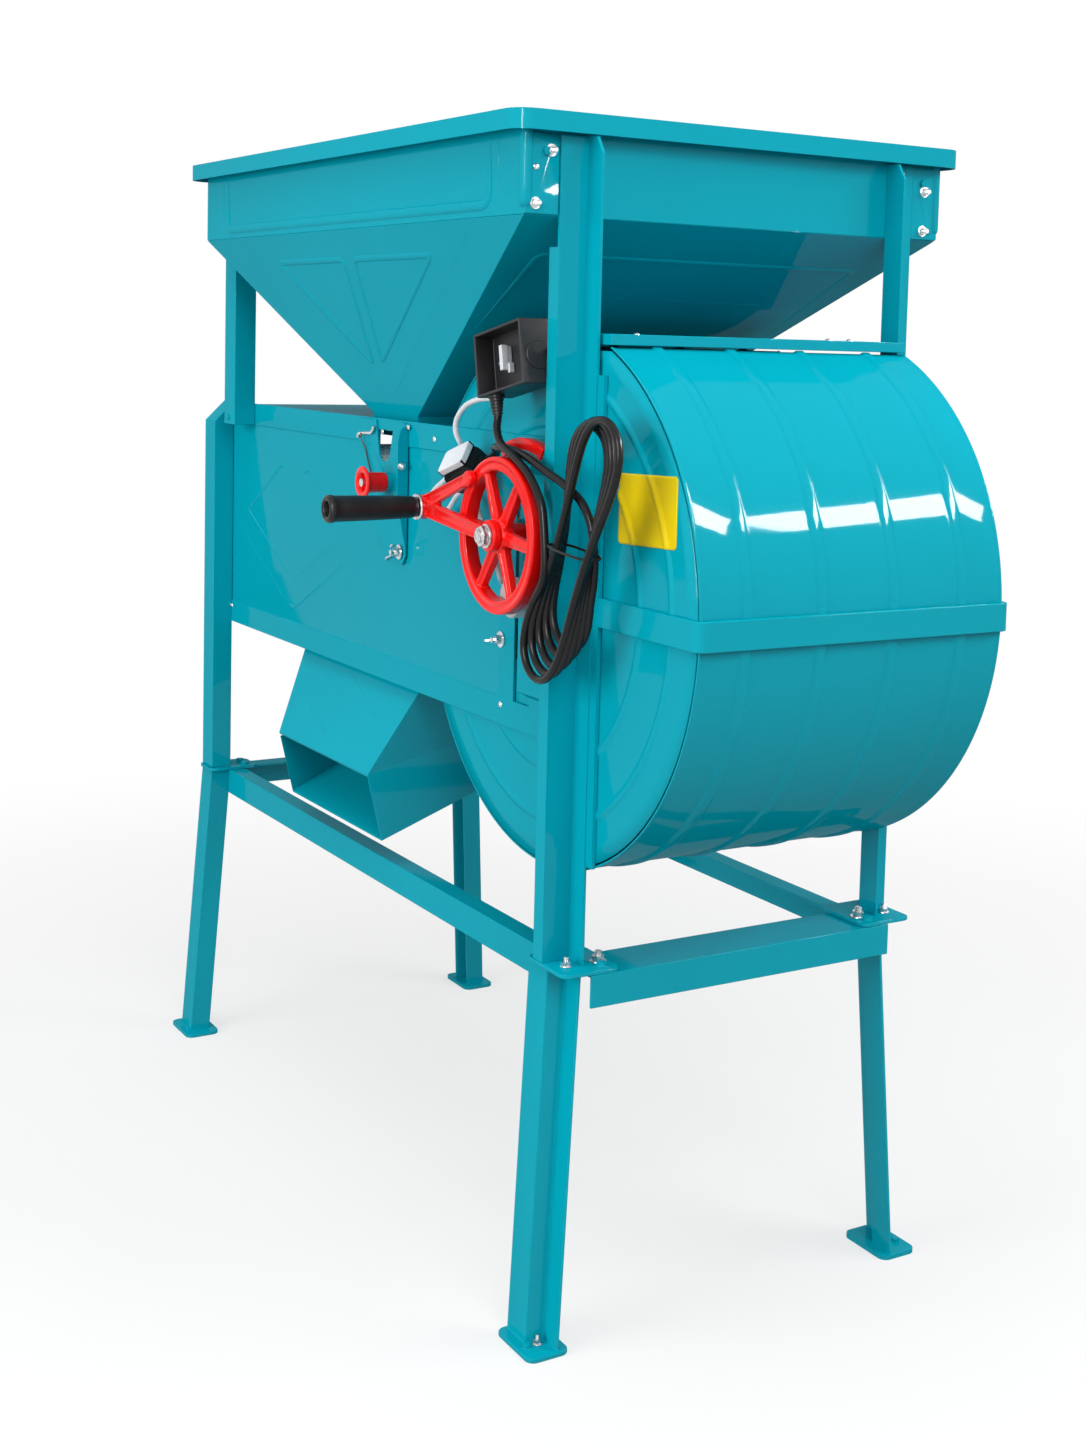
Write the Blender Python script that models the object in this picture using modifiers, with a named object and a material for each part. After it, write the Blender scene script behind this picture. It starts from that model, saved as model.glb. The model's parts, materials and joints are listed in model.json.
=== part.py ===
"""Grain winnower (fanning mill) with a hand crank and a small motor, for Blender 4.5.

Metres, +Z up. +X points to the fan drum, -Y to the operator's side with the crank.
The feet stand on Z = 0. Every sub-part is one closed body and one named object.
"""
import math

import bmesh
import bpy
from mathutils import Matrix, Vector

# ---- clearances and sheet gauges -------------------------------------------------
GAP = 0.0003            # left between touching pieces
SHEET = 0.002           # body panels
SECTION = 0.003         # folded frame sections
RAISE = 0.0015          # how far a panel's folded band stands proud

# ---- frame -----------------------------------------------------------------------
KNEE_Z = 0.393          # top of the knee frame rails
RAIL_H = 0.034
RAIL_TOP = 0.024        # width of a side rail's top flange
END_RAIL_TOP = 0.065    # width of the drum-end rail's top flange
LEFT_RAIL_TOP = 0.030
FRAME_Y = 0.192         # outer face of the side rails
LEG_LIP = 0.036
LEG_WEB = 0.024
LEG_FLANGE = 0.028
SPLAY_X = 0.014
SPLAY_Y = 0.024
FOOT_T = 0.005
FOOT_X = 0.074
FOOT_Y = 0.048
FOOT_R = 0.010
PLATE_T = 0.004
POST_X = 0.5105         # inner face of the drum-end posts' webs
POST_LIP = 0.016
POST_WEB = 0.034
POST_FLANGE = 0.0265
CHANNEL_X0 = -0.516     # left end channels
CHANNEL_W = 0.040
CHANNEL_D = 0.028
CHANNEL_TOP = 0.900     # front height of the left channel posts
CHANNEL_CHAMFER = 0.028

# ---- duct ------------------------------------------------------------------------
DUCT_Y = 0.188          # outer face of the side panels
DUCT_X0 = -0.4885
PANEL_X1 = 0.378        # right edge of the panel's bolted strip
BAND_X1 = 0.488
DUCT_Z0 = 0.611
DUCT_Z1 = 0.928
BAND_H = 0.030
STRIP_W = 0.033

# ---- fan drum --------------------------------------------------------------------
FAN_X = 0.442
FAN_Z = 0.763
DRUM_R = 0.283
DRUM_HALF = 0.1857
SIDE_Y = 0.1835         # outer face of the flat side plates
INLET_R = 0.100
FLAT_Z = FAN_Z + DRUM_R - 0.0235    # height of the drum's flattened top
RIB_Y = (-0.132, -0.044, 0.044, 0.132)
RIB_W = 0.016
RIB_H = 0.0022
SIDE_RIB_R = (DRUM_R - 0.103, DRUM_R - 0.047)
FACET_GAP = 0.0015      # side plate to shell, whose facets cut inside its radius
STRAP_H = 0.029
STRAP_Z = 0.7605
STRAP_OUT = 0.0057

# ---- hopper ----------------------------------------------------------------------
HOPPER_X = (-0.389, 0.510)
HOPPER_Y = 0.261
BAND_Z = 1.150
RIM_Z = 1.250
RIM_H = 0.020
RIM_OUT = 0.021
RIM_T = 0.0025
THROAT_X = (-0.060, 0.070)
THROAT_Y = 0.160
THROAT_Z = 0.932
NECK_Z = 0.905

# ---- hand drive ------------------------------------------------------------------
CRANK_X = 0.445
CRANK_Z = 0.828
SHAFT_R = 0.007
BORE_GAP = 0.0004
WHEEL_R = 0.081
WHEEL_RIM = 0.0145
WHEEL_FRONT = -0.252
WHEEL_DEPTH = 0.016
SPOKES = 6
ARM_T = 0.008
CRANK_R = 0.157
CRANK_ANGLE = math.radians(174)
GRIP_R = 0.0138
GRIP_L = 0.104
GEAR_R = 0.0445
PINION_R = 0.0197
GEAR_TEETH = 27
PINION_TEETH = 12
TOOTH = 0.0024
BRACKET_X = (0.418, 0.470)
BRACKET_Y = -0.207      # front face of the drive bracket's bridge
BRACKET_T = 0.0025
MOTOR_R = 0.021

# ---- feed gate -------------------------------------------------------------------
FLAP_X = 0.062
FLAP_Z = 0.853
FLAP_L = 0.122
FLAP_ANGLE = math.radians(18)

# ---- chute -----------------------------------------------------------------------
CHUTE_TOP_X = (-0.240, 0.118)
CHUTE_MOUTH_X = (-0.180, 0.100)
CHUTE_LOW = KNEE_Z + 0.032          # bottom lip of its mouth, over the side rail
CHUTE_MOUTH_H = 0.082

# ---- switch box and cords --------------------------------------------------------
BOX_CENTRE = (0.4385, 1.008)
BOX_W = 0.100
BOX_H = 0.066
BOX_Y = (-0.249, -0.208)
BOX_TILT = math.radians(11)
KNOB_AT = (-0.012, 0.003)   # the knob's axis, from the middle of the box
KNOB_R = 0.0125
KNOB_BAR = 0.009
CORD_R = 0.0042
LEAD_R = 0.0025
HANK_Y = (-0.2500, -0.2235)
FREE_CORD = ("power_cord", "plug_cord", "cord_hank", "plug")

TEAL = ("teal_paint", (0.0, 0.32, 0.42, 1.0), 0.35, 0.1)
RED = ("red_paint", (0.72, 0.012, 0.012, 1.0), 0.35, 0.1)
STEEL = ("zinc_steel", (0.62, 0.63, 0.64, 1.0), 0.3, 1.0)
DARK = ("dark_steel", (0.12, 0.12, 0.13, 1.0), 0.45, 1.0)
BLACK = ("black_plastic", (0.02, 0.02, 0.022, 1.0), 0.5, 0.0)
WHITE = ("white_plastic", (0.80, 0.82, 0.83, 1.0), 0.4, 0.0)
RUBBER = ("black_rubber", (0.025, 0.025, 0.028, 1.0), 0.6, 0.0)
GREY = ("grey_cast", (0.55, 0.57, 0.58, 1.0), 0.45, 0.3)


# ---- scene helpers ---------------------------------------------------------------
def new_scene():
    """Empty the file and make one collection for the parts and one for the cutters."""
    for obj in list(bpy.data.objects):
        bpy.data.objects.remove(obj, do_unlink=True)
    collections = []
    for name in ("grain_winnower", "cutters"):
        collection = bpy.data.collections.new(name)
        bpy.context.scene.collection.children.link(collection)
        collections.append(collection)
    return collections


PARTS, CUTTERS = new_scene()


def material(finish):
    """Return the Principled material of a finish, made once."""
    name, colour, rough, metal = finish
    mat = bpy.data.materials.get(name)
    if mat is None:
        mat = bpy.data.materials.new(name)
        mat.use_nodes = True
        shader = mat.node_tree.nodes["Principled BSDF"]
        shader.inputs["Base Color"].default_value = colour
        shader.inputs["Roughness"].default_value = rough
        shader.inputs["Metallic"].default_value = metal
    return mat


def add_mesh(name, mesh, finish=TEAL):
    """Link a mesh as a part with its finish."""
    obj = bpy.data.objects.new(name, mesh)
    PARTS.objects.link(obj)
    mesh.materials.clear()
    mesh.materials.append(material(finish))
    return obj


def from_bmesh(name, bm, finish=TEAL):
    """Turn a bmesh into a part with outward normals."""
    bmesh.ops.recalc_face_normals(bm, faces=bm.faces)
    mesh = bpy.data.meshes.new(name)
    bm.to_mesh(mesh)
    bm.free()
    return add_mesh(name, mesh, finish)


def box(name, low, high, finish=TEAL):
    """Box between two corners."""
    bm = bmesh.new()
    bmesh.ops.create_cube(bm, size=1.0)
    low, high = Vector(low), Vector(high)
    size = high - low
    bmesh.ops.scale(bm, vec=size, verts=bm.verts)
    bmesh.ops.translate(bm, vec=(low + high) / 2, verts=bm.verts)
    return from_bmesh(name, bm, finish)


def cylinder(name, centre, radius, y0, y1, finish=STEEL, sides=24, axis="Y"):
    """Round bar along Y or Z; centre holds the two other coordinates."""
    bm = bmesh.new()
    bmesh.ops.create_cone(bm, cap_ends=True, segments=sides, radius1=radius,
                          radius2=radius, depth=abs(y1 - y0))
    middle = (y0 + y1) / 2
    if axis == "Y":
        bmesh.ops.rotate(bm, matrix=Matrix.Rotation(math.radians(90), 3, "X"), verts=bm.verts)
        place = (centre[0], middle, centre[1])
    else:
        place = (centre[0], centre[1], middle)
    bmesh.ops.translate(bm, vec=place, verts=bm.verts)
    return from_bmesh(name, bm, finish)


def settle(obj):
    """Swap an object's mesh for the evaluated one, with its points welded."""
    bpy.context.view_layer.update()
    graph = bpy.context.evaluated_depsgraph_get()
    mesh = bpy.data.meshes.new_from_object(obj.evaluated_get(graph))
    bm = bmesh.new()
    bm.from_mesh(mesh)
    bmesh.ops.remove_doubles(bm, verts=bm.verts, dist=0.00001)
    bm.to_mesh(mesh)
    bm.free()
    return mesh


def outline(name, points, depth, place, finish=TEAL):
    """Flat outline extruded by depth; place is the matrix of its middle plane."""
    curve = bpy.data.curves.new(name, "CURVE")
    curve.dimensions = "2D"
    curve.fill_mode = "BOTH"
    curve.extrude = depth / 2
    spline = curve.splines.new("POLY")
    spline.points.add(len(points) - 1)
    for point, (u, v) in zip(spline.points, points):
        point.co = (u, v, 0, 1)
    spline.use_cyclic_u = True
    helper = bpy.data.objects.new(name + "_curve", curve)
    PARTS.objects.link(helper)
    mesh = settle(helper)
    bpy.data.objects.remove(helper, do_unlink=True)
    mesh.transform(place)
    obj = add_mesh(name, mesh, finish)
    fix_normals(obj)
    return obj


def fix_normals(obj):
    """Point all faces of a closed mesh outwards."""
    bm = bmesh.new()
    bm.from_mesh(obj.data)
    bmesh.ops.recalc_face_normals(bm, faces=bm.faces)
    bm.to_mesh(obj.data)
    bm.free()


def along_x(x0, x1):
    """Matrix that lays an outline's (u, v) on (y, z), between two x."""
    turn = Matrix(((0, 0, 1, (x0 + x1) / 2), (1, 0, 0, 0), (0, 1, 0, 0), (0, 0, 0, 1)))
    return turn


def along_y(y0, y1):
    """Matrix that lays an outline's (u, v) on (x, z), between two y."""
    turn = Matrix(((1, 0, 0, 0), (0, 0, -1, (y0 + y1) / 2), (0, 1, 0, 0), (0, 0, 0, 1)))
    return turn


def slab_x(name, points, x0, x1, finish=TEAL):
    """Outline in Y and Z, extruded along X."""
    return outline(name, points, abs(x1 - x0), along_x(x0, x1), finish)


def slab_y(name, points, y0, y1, finish=TEAL):
    """Outline in X and Z, extruded along Y."""
    return outline(name, points, abs(y1 - y0), along_y(y0, y1), finish)


def slab_z(name, points, z0, z1, finish=TEAL):
    """Outline in X and Y, extruded along Z."""
    return outline(name, points, abs(z1 - z0), Matrix.Translation((0, 0, (z0 + z1) / 2)), finish)


def winding(profile):
    """Signed area of a profile, positive where its outer side runs towards +Y."""
    total = 0.0
    for (r0, y0), (r1, y1) in zip(profile, profile[1:] + profile[:1]):
        total += r0 * y1 - r1 * y0
    return total


def turned(name, profile, centre, finish=TEAL, steps=40, start=0.0, sweep=360.0, wall=0.0):
    """Profile of (radius, y) points turned about an axis along Y.

    A closed profile, or one that starts and ends on the axis, makes a solid. With a wall,
    an open profile is a sheet whose thickness goes inwards. start and sweep are degrees
    from +X towards +Z.
    """
    mesh = bpy.data.meshes.new(name)
    points = [(radius, 0, -y) for radius, y in profile]
    if not wall and winding(profile) < 0:
        points.reverse()
    edges = [(i, i + 1) for i in range(len(points) - 1)]
    mesh.from_pydata(points, edges, [])
    obj = add_mesh(name, mesh, finish)
    screw = obj.modifiers.new("turn", "SCREW")
    screw.axis = "Z"
    screw.angle = math.radians(sweep)
    screw.steps = steps
    screw.render_steps = steps
    screw.use_merge_vertices = True
    screw.merge_threshold = 0.00001
    screw.use_smooth_shade = False
    obj.matrix_world = (Matrix.Translation((centre[0], 0, centre[1]))
                        @ Matrix.Rotation(math.radians(90), 4, "X")
                        @ Matrix.Rotation(math.radians(start), 4, "Z"))
    if wall:
        sheet = obj.modifiers.new("sheet", "SOLIDIFY")
        sheet.thickness = wall
        sheet.offset = -1.0
    return obj


def tube(name, points, radius, finish=BLACK, resolution=3):
    """Round cord or wire through the given points."""
    curve = bpy.data.curves.new(name, "CURVE")
    curve.dimensions = "3D"
    curve.bevel_depth = radius
    curve.bevel_resolution = resolution
    curve.use_fill_caps = True
    spline = curve.splines.new("POLY")
    spline.points.add(len(points) - 1)
    for point, co in zip(spline.points, points):
        point.co = (*co, 1)
    helper = bpy.data.objects.new(name + "_curve", curve)
    PARTS.objects.link(helper)
    mesh = settle(helper)
    bpy.data.objects.remove(helper, do_unlink=True)
    return add_mesh(name, mesh, finish)


def smooth_route(points, spacing):
    """Points at an even spacing on a Catmull-Rom curve through the route's own points."""
    knots = [Vector(p) for p in points]
    knots = [2 * knots[0] - knots[1]] + knots + [2 * knots[-1] - knots[-2]]
    fine = []
    for a, b, c, d in zip(knots, knots[1:], knots[2:], knots[3:]):
        for i in range(24):
            t = i / 24
            fine.append(0.5 * (2 * b + (c - a) * t + (2 * a - 5 * b + 4 * c - d) * t ** 2
                               + (3 * b - a - 3 * c + d) * t ** 3))
    fine.append(knots[-2])
    lengths = [0.0]
    for a, b in zip(fine, fine[1:]):
        lengths.append(lengths[-1] + (b - a).length)
    count = max(4, round(lengths[-1] / spacing))
    route = []
    j = 0
    for k in range(count + 1):
        want = lengths[-1] * k / count
        while j < len(fine) - 2 and lengths[j + 1] < want:
            j += 1
        part = (want - lengths[j]) / max(lengths[j + 1] - lengths[j], 1e-9)
        route.append(fine[j].lerp(fine[j + 1], min(part, 1.0)))
    return route


def boolean(target, tool, operation):
    """Cut or join target with tool, which becomes a hidden cutter."""
    mod = target.modifiers.new(tool.name, "BOOLEAN")
    mod.operation = operation
    mod.solver = "EXACT"
    mod.object = tool
    PARTS.objects.unlink(tool)
    CUTTERS.objects.link(tool)
    tool.hide_render = True
    tool.display_type = "WIRE"


def join(target, *tools):
    """Join tools into target."""
    for tool in tools:
        boolean(target, tool, "UNION")
    return target


def cut(target, *tools):
    """Cut tools out of target."""
    for tool in tools:
        boolean(target, tool, "DIFFERENCE")
    return target


def on_axis(obj, x, z, y=0.0):
    """Move an object's origin to a point on its joint's axis, shape unmoved."""
    shift = Matrix.Translation((x, y, z))
    if obj.modifiers and obj.modifiers[0].type == "SCREW":
        return obj
    obj.data.transform(shift.inverted() @ obj.matrix_world)
    obj.matrix_world = shift
    return obj


def polar(centre, radius, angle):
    """Point at a radius and an angle from +X towards +Z, about a centre (x, z)."""
    return (centre[0] + radius * math.cos(angle), centre[1] + radius * math.sin(angle))


def rounded(x0, x1, y0, y1, radius, steps=5):
    """Outline of a rectangle with round corners."""
    points = []
    corners = ((x1 - radius, y1 - radius, 0), (x0 + radius, y1 - radius, 90),
               (x0 + radius, y0 + radius, 180), (x1 - radius, y0 + radius, 270))
    for cx, cy, begin in corners:
        for i in range(steps + 1):
            angle = math.radians(begin + 90 * i / steps)
            points.append((cx + radius * math.cos(angle), cy + radius * math.sin(angle)))
    return points


def loft(name, rings, finish=TEAL):
    """Closed solid through rings of points, each ring with as many points."""
    bm = bmesh.new()
    rows = [[bm.verts.new(p) for p in ring] for ring in rings]
    count = len(rows[0])
    for low, high in zip(rows, rows[1:]):
        for i in range(count):
            j = (i + 1) % count
            bm.faces.new((low[i], low[j], high[j], high[i]))
    bm.faces.new(rows[0][::-1])
    bm.faces.new(rows[-1])
    return from_bmesh(name, bm, finish)


# ---- frame -----------------------------------------------------------------------
def z_section(x, front, depth, lip, flange, side):
    """Z-section outline: a lip at the outer side, a web, and a flange at the inner side.

    front is the lip's outer face as a distance from the middle, side is -1 in front and
    1 behind.
    """
    back = front - depth
    points = [(x - lip, front), (x + SECTION, front), (x + SECTION, back + SECTION),
              (x + SECTION + flange, back + SECTION), (x + SECTION + flange, back),
              (x, back), (x, front - SECTION), (x - lip, front - SECTION)]
    return [(px, side * py) for px, py in points]


def channel_section(x0, width, front, depth, side):
    """C-section outline, open towards the middle of the machine."""
    x1 = x0 + width
    back = front - depth
    points = [(x0, front), (x1, front), (x1, back), (x1 - SECTION, back),
              (x1 - SECTION, front - SECTION), (x0 + SECTION, front - SECTION),
              (x0 + SECTION, back), (x0, back)]
    return [(px, side * py) for px, py in points]


def leg(name, section, centre, splay, side):
    """Folded leg on a bolted foot plate, leaning outwards."""
    top = KNEE_Z - GAP
    obj = slab_z(name, section, FOOT_T - GAP, top)
    lean = Matrix.Identity(4)
    lean[0][2] = -splay[0] / top
    lean[1][2] = -splay[1] / top
    lean[0][3] = splay[0]
    lean[1][3] = splay[1]
    obj.data.transform(lean)
    cx, cy = centre[0] + splay[0], centre[1] + splay[1]
    foot = slab_z(name + "_foot", rounded(cx - FOOT_X / 2, cx + FOOT_X / 2, cy - FOOT_Y / 2,
                                          cy + FOOT_Y / 2, FOOT_R), 0.0, FOOT_T)
    bolt = cylinder(name + "_bolt", (cx + 0.012, cy + side * 0.014), 0.0045, FOOT_T - GAP,
                    FOOT_T + 0.004, sides=6, axis="Z")
    return join(obj, foot, bolt)


def make_legs():
    """Two Z-section legs under the drum and two channel legs under the duct's far end."""
    z_front = FRAME_Y + GAP + LEG_WEB
    c_front = DUCT_Y + GAP * 2 + CHANNEL_D
    for side, word in ((-1, "front"), (1, "back")):
        section = z_section(POST_X, z_front, LEG_WEB, LEG_LIP, LEG_FLANGE, side)
        middle = (POST_X - 0.002, side * (z_front - LEG_WEB / 2))
        leg(f"leg_drum_{word}", section, middle, (SPLAY_X, side * SPLAY_Y), side)
        section = channel_section(CHANNEL_X0, CHANNEL_W, c_front, CHANNEL_D, side)
        middle = (CHANNEL_X0 + CHANNEL_W / 2, side * (c_front - CHANNEL_D / 2))
        leg(f"leg_duct_{word}", section, middle, (-SPLAY_X, side * SPLAY_Y), side)


def make_rails():
    """Four folded rails of the knee frame."""
    x0 = CHANNEL_X0 + CHANNEL_W + GAP
    x1 = POST_X - 0.016
    low = KNEE_Z - RAIL_H
    for side, word in ((-1, "front"), (1, "back")):
        points = [(FRAME_Y, low), (FRAME_Y, KNEE_Z), (FRAME_Y - RAIL_TOP, KNEE_Z),
                  (FRAME_Y - RAIL_TOP, KNEE_Z - SECTION), (FRAME_Y - SECTION, KNEE_Z - SECTION),
                  (FRAME_Y - SECTION, low)]
        slab_x(f"rail_{word}", [(side * u, v) for u, v in points], x0, x1)
    ends = (("rail_drum_end", x1 + GAP * 2, x1 + GAP * 2 + END_RAIL_TOP, 1),
            ("rail_duct_end", CHANNEL_X0 + LEFT_RAIL_TOP, CHANNEL_X0, -1))
    for name, inner, outer, way in ends:
        half = FRAME_Y - GAP if way > 0 else DUCT_Y - GAP
        points = [(outer, low), (outer, KNEE_Z), (inner, KNEE_Z), (inner, KNEE_Z - SECTION),
                  (outer - way * SECTION, KNEE_Z - SECTION), (outer - way * SECTION, low)]
        slab_y(name, points, -half, half)


def knee_plate(name, x0, x1, y0, y1, bolts):
    """Plate over a knee joint with its bolt heads."""
    low = KNEE_Z + GAP
    plate = slab_z(name, rounded(x0, x1, y0, y1, 0.010, 4), low, low + PLATE_T)
    for i, (x, y) in enumerate(bolts):
        top = low + PLATE_T
        head = cylinder(f"{name}_bolt{i}", (x, y), 0.0055, top - GAP, top + 0.004, sides=12, axis="Z")
        join(plate, head)


def make_knee_plates():
    """Plates that tie legs, rails and posts at the four knees."""
    outer = FRAME_Y + LEG_WEB + 0.008
    for side, word in ((-1, "front"), (1, "back")):
        ys = sorted((side * outer, side * 0.156))
        bolts = ((POST_X + 0.019, side * 0.206), (POST_X + 0.036, side * 0.172))
        knee_plate(f"knee_plate_drum_{word}", POST_X - 0.030, POST_X + 0.0495, *ys, bolts)
        ys = sorted((side * (outer - 0.003), side * 0.150))
        bolts = ((CHANNEL_X0 + 0.015, side * 0.165), (CHANNEL_X0 + 0.035, side * 0.165))
        knee_plate(f"knee_plate_duct_{word}", CHANNEL_X0 - 0.003, CHANNEL_X0 + CHANNEL_W + 0.008,
                   *ys, bolts)


def make_drum_posts():
    """Z-section posts that run from the knee past the drum to the hopper's rim."""
    low = KNEE_Z + 2 * GAP + PLATE_T
    top = RIM_Z - RIM_H - 3 * GAP
    front = DUCT_Y + 0.0008 + POST_WEB
    for side, word in ((-1, "front"), (1, "back")):
        section = z_section(POST_X, front, POST_WEB, POST_LIP, POST_FLANGE, side)
        post = slab_z(f"post_drum_{word}", section, low, top)
        ys = sorted((side * (front - SECTION - GAP), side * (front + 0.01)))
        notch = box(f"post_notch_{word}", (POST_X - 0.03, ys[0], BAND_Z - 0.030),
                    (POST_X - GAP / 3, ys[1], top + 0.01))
        tip = POST_X + SECTION + POST_FLANGE
        corner = [(tip + 0.002, top + 0.002), (tip - 0.012, top + 0.002), (tip + 0.002, top - 0.020)]
        ys = sorted((side * (front - POST_WEB - 0.01), side * (front + 0.01)))
        chamfer = slab_y(f"post_chamfer_{word}", corner, *ys)
        cut(post, notch, chamfer)
        ys = sorted((side * (DUCT_Y - SHEET), side * (front - POST_WEB + SECTION / 2)))
        strip = box(f"post_strip_{word}", (POST_X - 0.020, ys[0], 0.500), (POST_X + 0.0415, ys[1], 0.995))
        join(post, strip)
        if side < 0:
            low_y = BOX_Y[1] + GAP
            join(post, box("switch_bracket", (BOX_CENTRE[0], low_y, BOX_CENTRE[1] - 0.018),
                           (POST_X + 0.001, low_y + SHEET, BOX_CENTRE[1] + 0.018)))


def make_channel_posts():
    """Left channel posts with a sloping closed top, from the knee to the duct's top."""
    low = KNEE_Z + 2 * GAP + PLATE_T
    front = DUCT_Y + GAP * 2 + CHANNEL_D
    back = front - CHANNEL_D
    x0, x1 = CHANNEL_X0, CHANNEL_X0 + CHANNEL_W
    for side, word in ((-1, "front"), (1, "back")):
        side_view = [(front, low), (front, CHANNEL_TOP), (back, CHANNEL_TOP + CHANNEL_CHAMFER),
                     (back, low)]
        post = slab_x(f"post_duct_{word}", [(side * u, v) for u, v in side_view], x0, x1)
        inner = [(front - SECTION, low - 0.01), (front - SECTION, CHANNEL_TOP - SECTION),
                 (back - 0.01, CHANNEL_TOP + CHANNEL_CHAMFER + 0.01 - SECTION), (back - 0.01, low - 0.01)]
        hollow = slab_x(f"post_hollow_{word}", [(side * u, v) for u, v in inner],
                        x0 + SECTION, x1 - SECTION)
        cut(post, hollow)


def make_upper_posts():
    """Short posts that carry the hopper's far end on the duct's side panels."""
    x1 = HOPPER_X[0] - GAP * 2
    x0 = x1 - 0.040
    back = DUCT_Y + RAISE + GAP
    front = back + 0.030
    low, top = DUCT_Z1 - BAND_H + 0.001, RIM_Z - RIM_H - 3 * GAP
    for side, word in ((-1, "front"), (1, "back")):
        points = [(x0, front), (x1, front), (x1, back), (x0, back), (x0, back + SECTION),
                  (x1 - SECTION, back + SECTION), (x1 - SECTION, front - SECTION),
                  (x0, front - SECTION)]
        post = slab_z(f"post_hopper_{word}", [(u, side * v) for u, v in points], low, top)
        for i, z in enumerate((low + 0.010, top - 0.030)):
            ys = sorted((side * (front - GAP), side * (front + 0.003)))
            join(post, cylinder(f"post_hopper_{word}_bolt{i}", (x0 + 0.02, z), 0.0045, *ys, sides=6))


# ---- hopper ----------------------------------------------------------------------
def rectangle(x0, x1, half_y, z):
    """Ring of four corners at one height."""
    return [(x0, -half_y, z), (x1, -half_y, z), (x1, half_y, z), (x0, half_y, z)]


def make_hopper():
    """Square band, four-sided cone with its neck, folded rim and corner straps."""
    x0, x1 = HOPPER_X
    band = box("hopper_band", (x0, -HOPPER_Y, BAND_Z + GAP), (x1, HOPPER_Y, RIM_Z - RIM_T - GAP))
    hollow = box("hopper_band_hollow", (x0 + SHEET, -HOPPER_Y + SHEET, BAND_Z - 0.01),
                 (x1 - SHEET, HOPPER_Y - SHEET, RIM_Z + 0.01))
    cut(band, hollow)

    t0, t1 = THROAT_X
    outer = [rectangle(t0, t1, THROAT_Y, NECK_Z), rectangle(t0, t1, THROAT_Y, THROAT_Z),
             rectangle(x0, x1, HOPPER_Y, BAND_Z)]
    cone = loft("hopper_cone", outer)
    slope = 0.0026
    inner = [rectangle(t0 + SHEET, t1 - SHEET, THROAT_Y - SHEET, NECK_Z - 0.01),
             rectangle(t0 + SHEET, t1 - SHEET, THROAT_Y - SHEET, THROAT_Z + slope),
             rectangle(x0 + SHEET, x1 - SHEET, HOPPER_Y - SHEET, BAND_Z + slope)]
    cut(cone, loft("hopper_cone_hollow", inner))

    rx0, rx1, ry = x0 - RIM_OUT, x1 + RIM_OUT, HOPPER_Y + RIM_OUT
    rim = slab_z("hopper_rim", rounded(rx0, rx1, -ry, ry, 0.024), RIM_Z - RIM_H, RIM_Z)
    under = slab_z("hopper_rim_under", rounded(rx0 + RIM_T, rx1 - RIM_T, -ry + RIM_T, ry - RIM_T, 0.0215),
                   RIM_Z - RIM_H - 0.01, RIM_Z - RIM_T)
    mouth = box("hopper_rim_mouth", (x0 + SHEET, -HOPPER_Y + SHEET, RIM_Z - 0.03),
                (x1 - SHEET, HOPPER_Y - SHEET, RIM_Z + 0.01))
    cut(rim, under, mouth)

    for side, word in ((-1, "front"), (1, "back")):
        ys = sorted((side * HOPPER_Y, side * (DUCT_Y + 0.0008 + POST_WEB + 0.0015)))
        strap = box(f"corner_strap_{word}", (x1 - 0.001, ys[0], BAND_Z + 0.001),
                    (x1 + SHEET, ys[1], RIM_Z - RIM_H - 0.001))
        for i, z in enumerate((BAND_Z + 0.012, RIM_Z - RIM_H - 0.018)):
            head = cylinder(f"strap_bolt_{word}{i}", (0, 0), 0.0045, 0, 0.0035, sides=6, axis="Z")
            spot = Matrix.Translation((x1 + SHEET, (ys[0] + ys[1]) / 2 + side * 0.004 * (1 - 2 * i), z))
            head.data.transform(spot @ Matrix.Rotation(math.radians(90), 4, "Y"))
            join(strap, head)
        join(band, strap)


# ---- duct ------------------------------------------------------------------------
def make_side_panel(side, word):
    """Side panel of the duct with its folded bands and the bolted strip."""
    def face(y0, y1):
        return sorted((side * y0, side * y1))

    ys = face(DUCT_Y - SHEET, DUCT_Y)
    panel = box(f"duct_panel_{word}", (DUCT_X0, ys[0], DUCT_Z0), (PANEL_X1, ys[1], DUCT_Z1))
    band_x0 = CHANNEL_X0 + CHANNEL_W + GAP
    ys = face(DUCT_Y - SHEET, DUCT_Y + RAISE)
    low = box(f"panel_low_{word}", (band_x0, ys[0], DUCT_Z0), (BAND_X1, ys[1], DUCT_Z0 + BAND_H))
    high = box(f"panel_high_{word}", (band_x0, ys[0], DUCT_Z1 - BAND_H), (BAND_X1, ys[1], DUCT_Z1))
    strip = box(f"panel_strip_{word}", (PANEL_X1 - STRIP_W, ys[0], DUCT_Z0),
                (PANEL_X1, ys[1], DUCT_Z1))
    join(panel, low, high, strip)
    bore = cylinder(f"panel_bore_{word}", (FLAP_X, FLAP_Z), 0.0056, side * 0.15, side * 0.21, sides=20)
    cut(panel, bore)
    if side < 0:
        window = box("panel_window", (0.022, -0.20, 0.876), (0.070, -0.18, 0.914))
        cut(panel, window)
    return panel


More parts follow.
